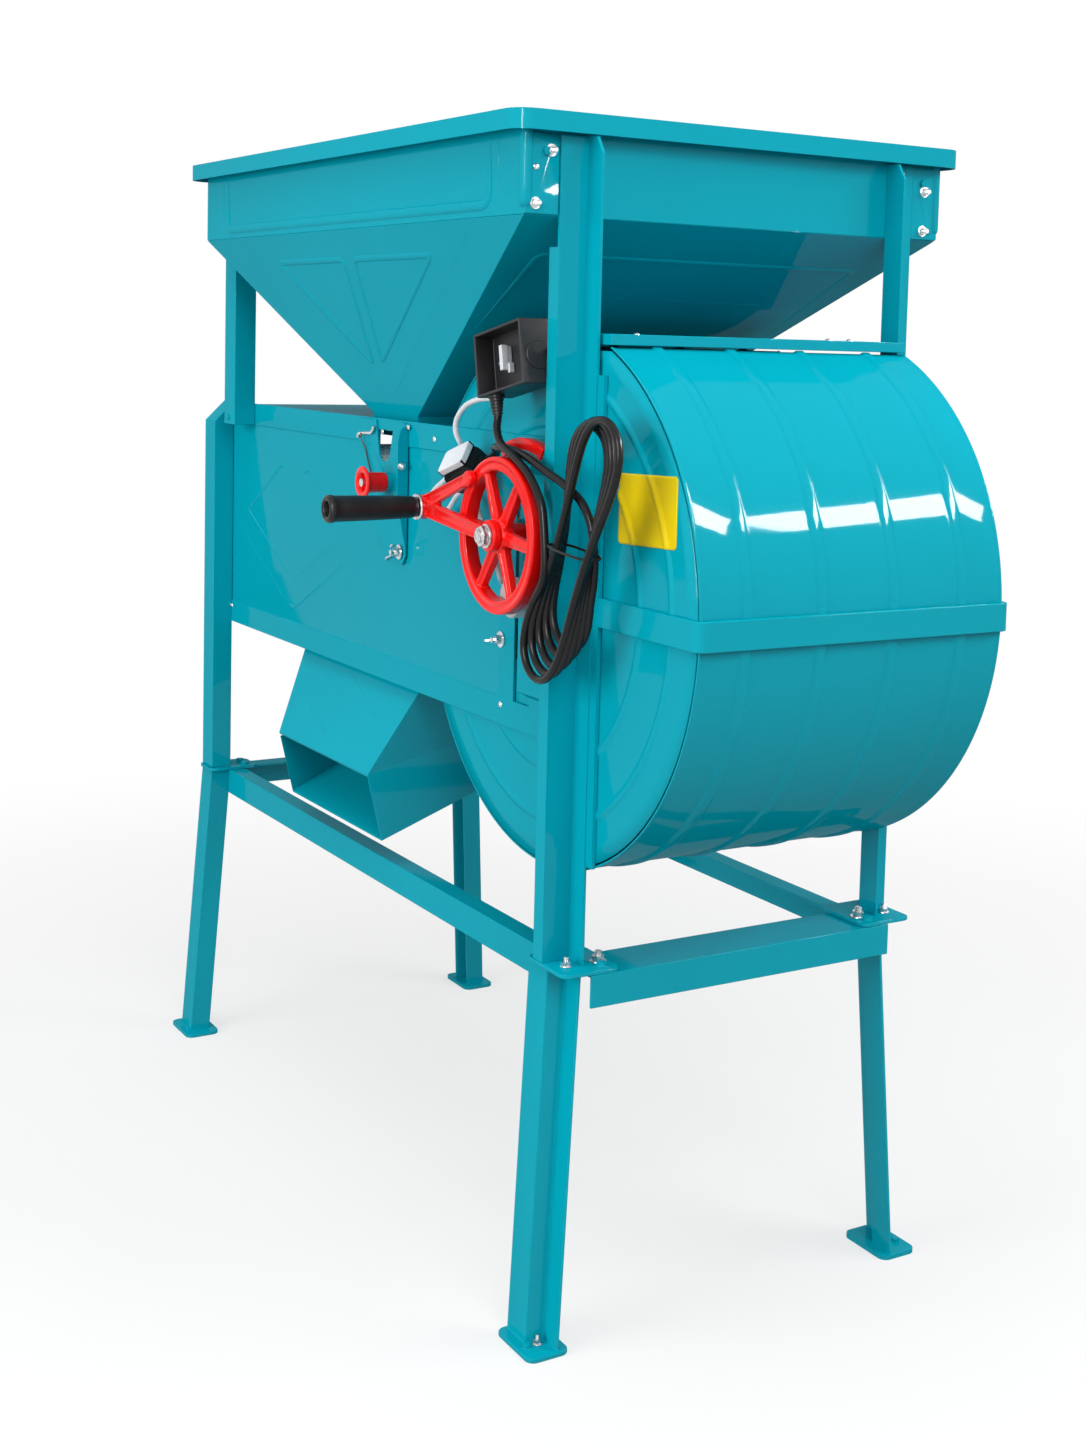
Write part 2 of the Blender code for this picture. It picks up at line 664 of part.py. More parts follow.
def make_duct():
    """Side panels, top deck and floor."""
    for side, word in ((-1, "front"), (1, "back")):
        make_side_panel(side, word)
    half = DUCT_Y - SHEET - GAP
    deck = box("duct_deck", (DUCT_X0 + 0.002, -half, DUCT_Z1 - 0.006), (0.205, half, DUCT_Z1 - 0.004))
    throat = box("deck_throat", (THROAT_X[0] - 0.004, -THROAT_Y - 0.004, 0.9),
                 (THROAT_X[1] + 0.004, THROAT_Y + 0.004, 1.0))
    cut(deck, throat)
    floor = box("duct_floor", (DUCT_X0 + 0.002, -half, DUCT_Z0 + 0.002), (0.200, half, DUCT_Z0 + 0.004))
    drop = box("floor_drop", (CHUTE_TOP_X[0] + 0.004, -0.164, 0.6), (CHUTE_TOP_X[1] - 0.004, 0.160, 0.63))
    cut(floor, drop)


def chute_solid(name, profile, grow):
    """Solid of the chute from its side view, narrower at the mouth."""
    left, right = [], []
    for y, z, mouth in profile:
        x0, x1 = CHUTE_MOUTH_X if mouth else CHUTE_TOP_X
        left.append((x0 + grow, y, z))
        right.append((x1 - grow, y, z))
    return loft(name, [left, right])


def make_chute():
    """Wedge-shaped grain chute under the duct, its mouth facing the operator."""
    top = DUCT_Z0 + 0.002 - GAP
    high = CHUTE_LOW + CHUTE_MOUTH_H
    chute = chute_solid("grain_chute", [(-0.170, top, False), (-0.232, high, True),
                                        (-0.212, CHUTE_LOW, True), (0.165, 0.577, False),
                                        (0.165, top, False)], 0.0)
    inner = chute_solid("grain_chute_hollow", [(-0.158, top + 0.018, False),
                                               (-0.2354, high - 0.0096, True),
                                               (-0.2220, CHUTE_LOW - 0.0018, True),
                                               (0.163, 0.5784, False), (0.163, top + 0.018, False)],
                        SHEET)
    cut(chute, inner)


# ---- drum ------------------------------------------------------------------------
def rib_profile():
    """Outer sheet line of the drum's shell with its four raised beads."""
    points = [(DRUM_R, -DRUM_HALF)]
    for y in RIB_Y:
        flank = RIB_W * 0.25
        points += [(DRUM_R, y - RIB_W / 2), (DRUM_R + RIB_H, y - RIB_W / 2 + flank),
                   (DRUM_R + RIB_H, y + RIB_W / 2 - flank), (DRUM_R, y + RIB_W / 2)]
    points.append((DRUM_R, DRUM_HALF))
    return points


def side_profile(side):
    """Flat side plate's line from the inlet to the shell, with its round beads."""
    points = [(INLET_R, side * SIDE_Y)]
    for radius in SIDE_RIB_R:
        points += [(radius - 0.006, side * SIDE_Y), (radius - 0.003, side * (SIDE_Y + 0.002)),
                   (radius + 0.003, side * (SIDE_Y + 0.002)), (radius + 0.006, side * SIDE_Y)]
    points.append((DRUM_R - SHEET - FACET_GAP, side * SIDE_Y))
    return points


def make_drum():
    """Shell in three sheets, two side plates, top cover, joint strap and side strips."""
    flat = math.degrees(math.asin((FLAT_Z - FAN_Z) / DRUM_R))
    end_up = 180 - math.degrees(math.asin((DUCT_Z1 - FAN_Z) / DRUM_R))
    end_low = 180 + math.degrees(math.asin((FAN_Z - DUCT_Z0) / DRUM_R))
    joint = math.degrees((STRAP_Z - FAN_Z) / DRUM_R)
    centre = (FAN_X, FAN_Z)
    shells = (("drum_shell_upper", joint + 0.05, flat, 12), ("drum_shell_rear", 180 - flat, end_up, 5),
              ("drum_shell_lower", end_low, 360 + joint - 0.05, 26))
    for name, begin, end, steps in shells:
        turned(name, rib_profile(), centre, steps=steps, start=begin, sweep=end - begin, wall=SHEET)

    for side, word in ((-1, "front"), (1, "back")):
        profile = side_profile(side)
        if side > 0:
            profile.reverse()
        plate = turned(f"drum_side_{word}", profile, centre, steps=44, wall=SHEET)
        ys = sorted((side * 0.17, side * 0.20))
        above = box(f"side_flat_{word}", (0.1, ys[0], FLAT_Z - SHEET - FACET_GAP), (0.8, ys[1], 1.2))
        cut(plate, above)

    reach = DRUM_R * math.cos(math.radians(flat))
    x0, x1 = FAN_X - reach - 0.002, FAN_X + reach + 0.002
    cover = box("drum_cover", (x0, -DRUM_HALF, FLAT_Z + RIB_H + GAP), (x1, DRUM_HALF, FLAT_Z + 0.0135))
    hollow = box("drum_cover_hollow", (x0 + SHEET, -DRUM_HALF + SHEET, FLAT_Z - 0.01),
                 (x1 - SHEET, DRUM_HALF - SHEET, FLAT_Z + 0.0115))
    cut(cover, hollow)

    make_strap()


def make_strap():
    """Folded strap over the joint of the drum's shells, bent round both sides."""
    near = FAN_X + DRUM_R + RIB_H + GAP
    inner_y = DRUM_HALF + GAP
    start = POST_X + 0.0425
    outer = rounded(start - 0.05, near + STRAP_OUT, -inner_y - STRAP_OUT, inner_y + STRAP_OUT, 0.012)
    z0, z1 = STRAP_Z - STRAP_H / 2, STRAP_Z + STRAP_H / 2
    strap = slab_z("drum_strap", outer, z0, z1)
    inside = slab_z("strap_inside", rounded(start - 0.06, near, -inner_y, inner_y, 0.004), z0 - 0.01,
                    z1 + 0.01)
    open_end = box("strap_end", (start - 0.1, -0.3, z0 - 0.01), (start, 0.3, z1 + 0.01))
    cut(strap, inside, open_end)


# ---- fan -------------------------------------------------------------------------
def gear_outline(radius, teeth, phase=0.0):
    """Outline of a small spur gear with flat tooth tips."""
    points = []
    pitch = 2 * math.pi / teeth
    for k in range(teeth):
        base = phase + k * pitch
        for share, depth in ((0.0, TOOTH), (0.2, 0.0), (0.5, 0.0), (0.7, TOOTH)):
            angle = base + share * pitch
            points.append(((radius - depth) * math.cos(angle), (radius - depth) * math.sin(angle)))
    return points


def make_gear(name, centre, radius, teeth):
    """Toothed wheel with a bore, centred on its shaft."""
    y0, y1 = -0.2020, -0.1945
    points = [(centre[0] + u, centre[1] + v) for u, v in gear_outline(radius, teeth)]
    gear = slab_y(name, points, y0, y1, DARK)
    cut(gear, cylinder(name + "_bore", centre, SHAFT_R + BORE_GAP, -0.22, -0.18, sides=20))
    on_axis(gear, *centre)


def make_fan():
    """Four-blade rotor, its shaft, the pinion and the rear bearing's bridge."""
    centre = (FAN_X, FAN_Z)
    rotor = cylinder("fan_rotor", centre, 0.021, -0.165, 0.165, DARK)
    for i in range(4):
        angle = math.radians(25 + 90 * i)
        blade = box(f"fan_blade_{i}", (0.015, -0.155, -0.00125), (0.232, 0.155, 0.00125))
        blade.data.transform(Matrix.Translation((FAN_X, 0, FAN_Z)) @ Matrix.Rotation(-angle, 4, "Y"))
        join(rotor, blade)
    cut(rotor, cylinder("rotor_bore", centre, SHAFT_R + BORE_GAP, -0.2, 0.2, sides=20))
    on_axis(rotor, *centre)
    shaft = cylinder("fan_shaft", centre, SHAFT_R, -0.2200, 0.2065, sides=20)
    on_axis(shaft, *centre)
    make_gear("fan_pinion", centre, PINION_R, PINION_TEETH)

    strap = box("bearing_bridge_back", (FAN_X - 0.026, DUCT_Y + RAISE + GAP, 0.655),
                (FAN_X + 0.026, DUCT_Y + RAISE + GAP + BRACKET_T, 0.871))
    join(strap, box("bridge_foot_low", (FAN_X - 0.026, DUCT_Y + RAISE + GAP, DUCT_Z0 + 0.004),
                    (FAN_X + 0.026, DUCT_Y + RAISE + GAP + BRACKET_T, 0.656)),
         box("bridge_foot_high", (FAN_X - 0.026, DUCT_Y + RAISE + GAP, 0.870),
             (FAN_X + 0.026, DUCT_Y + RAISE + GAP + BRACKET_T, DUCT_Z1 - 0.004)))
    face = DUCT_Y + RAISE + GAP + BRACKET_T
    join(strap, cylinder("bearing_back", centre, 0.019, face - 0.001, face + 0.0155))
    cut(strap, cylinder("bridge_bore", centre, SHAFT_R + BORE_GAP, 0.18, 0.2075, sides=20))


# ---- hand drive ------------------------------------------------------------------
def make_bracket():
    """Omega-shaped bracket that carries the crank's bearing and the motor."""
    face = DUCT_Y + RAISE + GAP
    reach = -BRACKET_Y
    t = BRACKET_T
    points = [(-face, 0.622), (-face - t, 0.622), (-face - t, 0.652), (-reach, 0.660),
              (-reach, 0.890), (-face - t, 0.898), (-face - t, 0.925), (-face, 0.925),
              (-face, 0.896), (-reach + t, 0.888), (-reach + t, 0.662), (-face, 0.654)]
    bracket = slab_x("drive_bracket", points, *BRACKET_X)
    join(bracket, cylinder("crank_bearing", (CRANK_X, CRANK_Z), 0.017, BRACKET_Y - 0.0118, BRACKET_Y + 0.001))
    for name, centre in (("bracket_bore_crank", (CRANK_X, CRANK_Z)), ("bracket_bore_fan", (FAN_X, FAN_Z))):
        cut(bracket, cylinder(name, centre, SHAFT_R + BORE_GAP, -0.23, -0.18, sides=20))


def make_motor():
    """Flat motor on the bracket, round the end of the fan's shaft."""
    centre = (FAN_X, FAN_Z)
    back = BRACKET_Y - GAP
    profile = [(0.0, -0.2335), (0.016, -0.2335), (MOTOR_R, -0.2305), (MOTOR_R, -0.2105),
               (0.0235, -0.2105), (0.0235, back), (0.0, back)]
    motor = turned("motor", profile, centre, GREY, steps=32)
    cut(motor, cylinder("motor_bore", centre, SHAFT_R + BORE_GAP, -0.2205, -0.20, sides=20))


def make_wheel():
    """Six-spoke cast hand wheel with its boss."""
    centre = (CRANK_X, CRANK_Z)
    back = WHEEL_FRONT + WHEEL_DEPTH
    rim_in = WHEEL_R - WHEEL_RIM
    profile = [(rim_in, WHEEL_FRONT + 0.001), (rim_in, back - 0.001), (rim_in + 0.001, back),
               (WHEEL_R - 0.001, back), (WHEEL_R, back - 0.001), (WHEEL_R, WHEEL_FRONT + 0.001),
               (WHEEL_R - 0.001, WHEEL_FRONT), (rim_in + 0.001, WHEEL_FRONT)]
    rim = turned("wheel_rim", profile + profile[:1], centre, RED, steps=40)
    wheel = cylinder("hand_wheel", centre, 0.0175, WHEEL_FRONT, back, RED, sides=32)
    join(wheel, rim, cylinder("wheel_boss", centre, 0.0125, back - 0.001, back + 0.0165, RED))
    for i in range(SPOKES):
        angle = CRANK_ANGLE + 2 * math.pi * i / SPOKES
        spoke = box(f"wheel_spoke_{i}", (0.012, WHEEL_FRONT + 0.0015, -0.006),
                    (rim_in + 0.004, back - 0.003, 0.006))
        spoke.data.transform(Matrix.Translation((CRANK_X, 0, CRANK_Z)) @ Matrix.Rotation(-angle, 4, "Y"))
        join(wheel, spoke)
    cut(wheel, cylinder("wheel_bore", centre, SHAFT_R + BORE_GAP, -0.27, -0.20, sides=20))
    on_axis(wheel, *centre)


def bar(name, start, end, height, y0, y1, finish=RED):
    """Flat bar between two points (x, z), as a box turned about Y."""
    dx, dz = end[0] - start[0], end[1] - start[1]
    length = math.hypot(dx, dz)
    obj = box(name, (0, y0, -height / 2), (length, y1, height / 2), finish)
    obj.data.transform(Matrix.Translation((start[0], 0, start[1]))
                       @ Matrix.Rotation(-math.atan2(dz, dx), 4, "Y"))
    return obj


def make_crank():
    """Forked crank arm, its nut, the pin and the turning grip."""
    hub = (CRANK_X, CRANK_Z)
    back = WHEEL_FRONT - GAP
    front = back - ARM_T
    end = polar(hub, CRANK_R, CRANK_ANGLE)
    rim_tip = polar(hub, WHEEL_R - WHEEL_RIM / 2, CRANK_ANGLE - math.radians(42))
    arm = cylinder("crank_arm", hub, 0.0165, front, back, RED)
    boss_back = back
    join(arm, bar("arm_main", hub, end, 0.013, front, back), bar("arm_fork", end, rim_tip, 0.010, front, back),
         cylinder("arm_boss", end, 0.0135, front - 0.0015, boss_back, RED),
         cylinder("arm_tip", rim_tip, 0.0085, front, back, RED, sides=16))
    cut(arm, cylinder("arm_bore", hub, SHAFT_R + BORE_GAP, -0.28, -0.24, sides=20),
        cylinder("arm_pin_bore", end, 0.004 + BORE_GAP, -0.28, -0.24, sides=16))
    on_axis(arm, *hub)

    nut_back = front - GAP
    nut = cylinder("crank_nut", hub, 0.0125, nut_back - 0.0022, nut_back, STEEL)
    join(nut, cylinder("nut_hex", hub, 0.0098, nut_back - 0.0085, nut_back - 0.002, STEEL, sides=6))
    cut(nut, cylinder("nut_bore", hub, SHAFT_R + BORE_GAP, nut_back - 0.02, nut_back + 0.01, sides=20))
    on_axis(nut, *hub)
    shaft = cylinder("crank_shaft", hub, SHAFT_R, nut_back - 0.0105, -0.1935, sides=20)
    on_axis(shaft, *hub)

    collar = front - 0.0015 - GAP
    outer = collar - 0.0040 - GAP - GRIP_L
    profile = [(0.0, outer - 0.0045), (0.0060, outer - 0.0040), (0.0065, outer - GAP), (0.0040, outer - GAP),
               (0.0040, collar - 0.0040), (0.0145, collar - 0.0040), (0.0145, collar), (0.0040, collar),
               (0.0040, back - 0.0002), (0.0, back - 0.0002)]
    turned("grip_pin", profile, end, STEEL, steps=24)
    inner = outer + GRIP_L
    profile = [(0.0046, outer), (0.0100, outer), (0.0140, outer + 0.002), (0.0148, outer + 0.006),
               (0.0138, outer + 0.012), (GRIP_R, outer + 0.050), (0.0120, inner - 0.004),
               (0.0112, inner), (0.0046, inner)]
    turned("grip", profile + profile[:1], end, RUBBER, steps=28)

    make_gear("crank_gear", hub, GEAR_R, GEAR_TEETH)

    guard_r = 0.100
    turned("wheel_guard", [(guard_r, -0.2345), (guard_r, -DUCT_Y - RAISE - BRACKET_T - 2 * GAP)], hub, RED, steps=14,
           start=62, sweep=56, wall=SHEET)


# ---- feed gate -------------------------------------------------------------------
def make_gate():
    """Feed flap on its shaft, the red knob, the regulator plate and its hook."""
    axis = (FLAP_X, FLAP_Z)
    shaft = cylinder("feed_flap", axis, 0.005, -0.2290, 0.1960, STEEL, sides=16)
    leaf = box("flap_leaf", (-FLAP_L, -0.172, -0.001), (0.0, 0.172, 0.001), STEEL)
    leaf.data.transform(Matrix.Translation((FLAP_X, 0, FLAP_Z)) @ Matrix.Rotation(FLAP_ANGLE, 4, "Y"))
    join(shaft, leaf)
    on_axis(shaft, *axis)

    face = -(DUCT_Y + RAISE + GAP)
    t = 0.0022
    arc = [polar((0.046, 0.893), 0.017, math.radians(a)) for a in (0, -30, -60, -90, -120, -150, -180)]
    points = [(-0.034, 0.926), (-0.034, 0.842), (0.060, 0.764), (0.100, 0.757), (0.108, 0.768),
              (0.108, 0.920), (0.100, 0.926), (0.072, 0.926)] + arc + [(0.020, 0.926)]
    plate = slab_y("regulator_plate", points, face - t, face)
    fold = slab_x("regulator_fold", [(face - t + 0.0005, 0.775), (face - 0.0135, 0.835), (face - 0.0135, 0.905),
                                     (face - 0.010, 0.918), (face - t + 0.0005, 0.925)], 0.106, 0.108)
    join(plate, fold, cylinder("regulator_collar", axis, 0.0115, face - t - 0.0065, face - t + 0.001))
    cut(plate, cylinder("regulator_bore", axis, 0.0056, -0.21, -0.18, sides=20))

    front = face - t
    y = front - 0.0065 - GAP
    profile = [(0.0054, y), (0.0100, y), (0.0100, y - 0.022), (0.0165, y - 0.026), (0.0165, y - 0.029),
               (0.0120, y - 0.031), (0.0054, y - 0.031)]
    turned("regulator_knob", profile + profile[:1], axis, RED, steps=28)

    y = front - GAP - 0.0022
    hook = [(-0.028, y, 0.9020), (-0.0265, y, 0.9055), (-0.022, y, 0.9070), (0.000, y, 0.9085),
            (0.010, y, 0.9095), (0.018, y - 0.001, 0.9130), (0.0215, y - 0.001, 0.9180)]
    tube("gate_hook", hook, 0.0021, STEEL, 2)


# ---- switch box and cords --------------------------------------------------------
def box_turn():
    """Rotation of the switch box about its own centre."""
    centre = Matrix.Translation((BOX_CENTRE[0], 0, BOX_CENTRE[1]))
    return centre @ Matrix.Rotation(-BOX_TILT, 4, "Y")


def make_switch():
    """Hooded switch box, its rotary knob and gland."""
    w, h = BOX_W / 2, BOX_H / 2
    y0, y1 = BOX_Y
    recess = y0 + 0.022
    body = box("switch_box", (-w, y0, -h), (w, y1, h), BLACK)
    front = box("switch_front", (-w + 0.003, y0 - 0.01, -h + 0.003), (w - 0.003, recess, h - 0.003))
    rear = box("switch_rear", (-w + 0.003, recess + 0.003, -h + 0.003), (w - 0.003, y1 + 0.01, h - 0.003))
    knob_x, knob_z = KNOB_AT
    knob = cylinder("switch_knob", KNOB_AT, KNOB_R, recess - GAP - 0.005, recess - GAP, WHITE)
    lever = box("switch_lever", (knob_x - KNOB_BAR / 2, recess - 0.016, knob_z - 0.012),
                (knob_x + KNOB_BAR / 2, recess - 0.004, knob_z + 0.012), WHITE)
    gland_y = y0 + 0.012
    gland = cylinder("cord_gland", (-0.030, gland_y), 0.0065, -h - 0.0110, -h - GAP, BLACK, sides=16, axis="Z")
    for obj in (body, front, rear, knob, lever, gland):
        obj.data.transform(box_turn())
    cut(body, front, rear)
    join(knob, lever)
    pivot = box_turn() @ Vector((knob_x, 0, knob_z))
    on_axis(knob, pivot.x, pivot.z)


def make_cords():
    """Power cord, its hank and plug, and the motor's lead."""
    exit_point = box_turn() @ Vector((-0.030, BOX_Y[0] + 0.012, -BOX_H / 2 - 0.0110 - 3 * GAP))
    ahead = box_turn() @ Vector((-0.030, BOX_Y[0] + 0.012, -BOX_H / 2 - 0.0220))
    route = [exit_point, ahead, (0.4300, -0.2410, 0.9420), (0.4570, -0.2440, 0.9300),
             (0.4930, -0.2450, 0.9140), (0.5200, -0.2450, 0.8940), (0.5360, -0.2445, 0.8720),
             (0.5460, -0.2440, 0.8510)]
    tube("power_cord", smooth_route(route, 0.013), CORD_R, RUBBER, 2)
    route = [(0.5620, -0.2360, 0.8755), (0.5430, -0.2360, 0.8850), (0.5150, -0.2360, 0.9000),
             (0.4850, -0.2360, 0.9105), (0.4500, -0.2355, 0.9155), (0.4120, -0.2340, 0.9120),
             (0.3750, -0.2290, 0.8990), (0.3475, -0.2245, 0.8880)]
    tube("plug_cord", smooth_route(route, 0.013), CORD_R, RUBBER, 2)
    route = [(0.3890, -0.2320, 0.9590), (0.3720, -0.2300, 0.9595), (0.3500, -0.2240, 0.9580),
             (0.3280, -0.2140, 0.9490), (0.3120, -0.2040, 0.9320), (0.3060, -0.1985, 0.9120),
             (0.3090, -0.1970, 0.8880), (0.3260, -0.1980, 0.8580), (0.3520, -0.2020, 0.8280),
             (0.3800, -0.2120, 0.7980), (0.4000, -0.2190, 0.7790), (0.4197, -0.2200, 0.7670)]
    tube("motor_lead", smooth_route(route, 0.010), LEAD_R, WHITE, 2)
    make_hank()
    make_plug()


def make_hank():
    """Closed solid of the tied hank that hangs on the drum-end post."""
    low, high = Vector((0.553, 0.744)), Vector((0.632, 0.902))
    along = (high - low).normalized()
    lean = math.atan2(along.y, along.x)
    points = []
    for centre, radius, begin in ((high, 0.052, lean - math.pi / 2), (low, 0.042, lean + math.pi / 2)):
        for i in range(13):
            points.append(polar(centre, radius, begin + math.pi * i / 12))
    slab_y("cord_hank", points, *HANK_Y, RUBBER)


def make_plug():
    """Moulded plug with its white pin plate."""
    place = Matrix.Translation((0.318, -0.2245, 0.886)) @ Matrix.Rotation(math.radians(-24), 4, "Y")
    body = slab_y("plug", rounded(-0.020, 0.020, -0.016, 0.016, 0.010, 4), -0.0165, 0.0165, RUBBER)
    neck = cylinder("plug_neck", (0, 0), 0.0065, 0.016, 0.0275, RUBBER, sides=16, axis="Z")
    neck.data.transform(Matrix.Rotation(math.radians(90), 4, "Y"))
    join(body, neck)
    cap = box("plug_cap", (-0.018, -0.016, 0.015), (0.018, 0.016, 0.0225), WHITE)
    for obj in (body, neck, cap):
        obj.data.transform(place)
    join(body, cap)


# ---- place -----------------------------------------------------------------------
def world_bounds(objects):
    """Lowest and highest corner of the objects as the viewport evaluates them."""
    bpy.context.view_layer.update()
    graph = bpy.context.evaluated_depsgraph_get()
    points = []
    for obj in objects:
        real = obj.evaluated_get(graph)
        points += [real.matrix_world @ vert.co for vert in real.data.vertices]
    low = [min(point[i] for point in points) for i in range(3)]
    high = [max(point[i] for point in points) for i in range(3)]
    return Vector(low), Vector(high)


def stand_on_origin():
    """Hang every part and cutter on one empty that centres the footprint on the origin."""
    low, high = world_bounds([obj for obj in PARTS.objects if obj.name not in FREE_CORD])
    root = bpy.data.objects.new("winnower_root", None)
    PARTS.objects.link(root)
    for obj in list(PARTS.objects) + list(CUTTERS.objects):
        if obj is not root:
            obj.parent = root
    middle = (low + high) / 2
    root.location = (-middle.x, -middle.y, -low.z)
    bpy.context.view_layer.update()
    print("origin of the build frame lies at", tuple(round(v, 5) for v in root.location))


def shade_round():
    """Smooth shading with sharp folds on every part."""
    for obj in PARTS.objects:
        if obj.type == "MESH":
            obj.data.polygons.foreach_set("use_smooth", [True] * len(obj.data.polygons))
            for edge in obj.data.edges:
                edge.use_edge_sharp = False
            obj.data.set_sharp_from_angle(angle=math.radians(35))


# ---- build -----------------------------------------------------------------------
def build():
    """Make every sub-part."""
    make_legs()
    make_rails()
    make_knee_plates()
    make_drum_posts()
    make_channel_posts()
    make_upper_posts()
    make_hopper()
    make_duct()
    make_chute()
    make_drum()
    make_fan()
    make_bracket()
    make_motor()
    make_wheel()
    make_crank()
    make_gate()
    make_switch()
    make_cords()
    shade_round()
    stand_on_origin()


build()
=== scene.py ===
# %% [markdown]
# # A grain winnower, dressed for the studio
#
# The machine's solids come ready made and stay where they are. This lesson gives them their
# look: gloss paint with rolled edges, pressed ribs, zinc bolts, a cast hand wheel, and a mains
# cord that is really as long as it looks. Every length is in metres.

# %% Load the machine
import json
import math

import bmesh
import bpy
from mathutils import Matrix, Vector


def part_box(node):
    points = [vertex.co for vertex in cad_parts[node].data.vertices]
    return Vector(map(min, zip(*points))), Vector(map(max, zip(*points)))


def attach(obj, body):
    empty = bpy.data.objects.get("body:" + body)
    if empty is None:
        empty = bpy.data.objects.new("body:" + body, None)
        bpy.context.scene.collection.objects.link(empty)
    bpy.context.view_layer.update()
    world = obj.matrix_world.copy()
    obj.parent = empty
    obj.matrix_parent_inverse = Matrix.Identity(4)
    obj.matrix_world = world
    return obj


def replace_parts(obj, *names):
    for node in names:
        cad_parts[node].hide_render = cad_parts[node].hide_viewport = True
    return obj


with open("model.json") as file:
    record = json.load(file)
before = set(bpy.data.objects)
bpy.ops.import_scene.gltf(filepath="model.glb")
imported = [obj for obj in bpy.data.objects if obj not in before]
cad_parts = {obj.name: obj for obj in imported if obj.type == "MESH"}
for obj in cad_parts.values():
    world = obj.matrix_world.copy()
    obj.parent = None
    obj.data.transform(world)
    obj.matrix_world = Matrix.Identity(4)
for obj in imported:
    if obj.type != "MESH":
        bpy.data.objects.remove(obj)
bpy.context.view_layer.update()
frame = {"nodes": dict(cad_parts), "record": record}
NODES = frame["nodes"]


# %% [markdown]
# The workshop drawing counts its places from a point under the drum, while the machine's own
# origin is under the middle of everything. Two pieces whose drawn places are known tell how
# far apart the two are, so that the rest can be written as on the drawing.

# %% From the drawing to the frame
def middle(node):
    """Centre of a node's box."""
    low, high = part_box(node)
    return (Vector(low) + Vector(high)) / 2


FAN = (0.442, 0.763)
SHIFT = Vector((middle("fan_shaft").x - FAN[0], middle("hopper_rim").y, 0))


def at(x, y, z):
    """A place of the drawing as a point of the frame."""
    return Vector((x, y, z)) + SHIFT


print("drawing to frame:", tuple(round(v, 4) for v in SHIFT))

# %% [markdown]
# ## The camera
#
# A product picture is taken from a little above the middle of the machine with a normal lens.
# The camera's place is worked out from where it aims, how far it stands back and its two
# angles. The lens is shifted a little instead of tilted, so that the legs stay upright.

# %% The camera
AIM = at(0.3294, 0, 0.8374)
DISTANCE = 2.1987
AZIMUTH = math.radians(57.665)
HEIGHT_ANGLE = math.radians(4.99)
ROLL = math.radians(1.61)


def aim_camera():
    """Camera that looks along its two angles at AIM."""
    data = bpy.data.cameras.new("camera")
    data.lens = 48.04
    data.sensor_width = 36.0
    data.shift_x = -0.0691
    data.shift_y = -0.1471
    data.clip_end = 60
    camera = bpy.data.objects.new("camera", data)
    bpy.context.scene.collection.objects.link(camera)
    turn = (Matrix.Rotation(AZIMUTH, 4, "Z") @ Matrix.Rotation(math.pi / 2 - HEIGHT_ANGLE, 4, "X")
            @ Matrix.Rotation(ROLL, 4, "Z"))
    back = turn.to_3x3() @ Vector((0, 0, 1))
    camera.matrix_world = Matrix.Translation(AIM + back * DISTANCE) @ turn
    bpy.context.scene.camera = camera
    return camera


CAMERA = aim_camera()
print("camera stands at", tuple(round(v, 3) for v in CAMERA.location))


# %% [markdown]
# ## Shader maths that reads like maths
#
# A material is a graph of nodes, and wiring it by hand hides the formula. A `Value` wraps an
# output socket. Adding or multiplying two of them adds the Math node that does it, so a mask
# reads like the formula it is. `Finish` makes the nodes and holds the Principled shader.

# %% A small class for sockets
class Value:
    """An output socket that takes part in sums."""

    def __init__(self, finish, socket):
        self.finish = finish
        self.socket = socket

    def maths(self, operation, a, b):
        return self.finish.node("ShaderNodeMath", {"operation": operation}, {0: a, 1: b})

    def __add__(self, other):
        return self.maths("ADD", self, other)

    def __sub__(self, other):
        return self.maths("SUBTRACT", self, other)

    def __rsub__(self, other):
        return self.maths("SUBTRACT", other, self)

    def __mul__(self, other):
        return self.maths("MULTIPLY", self, other)

    __radd__ = __add__
    __rmul__ = __mul__


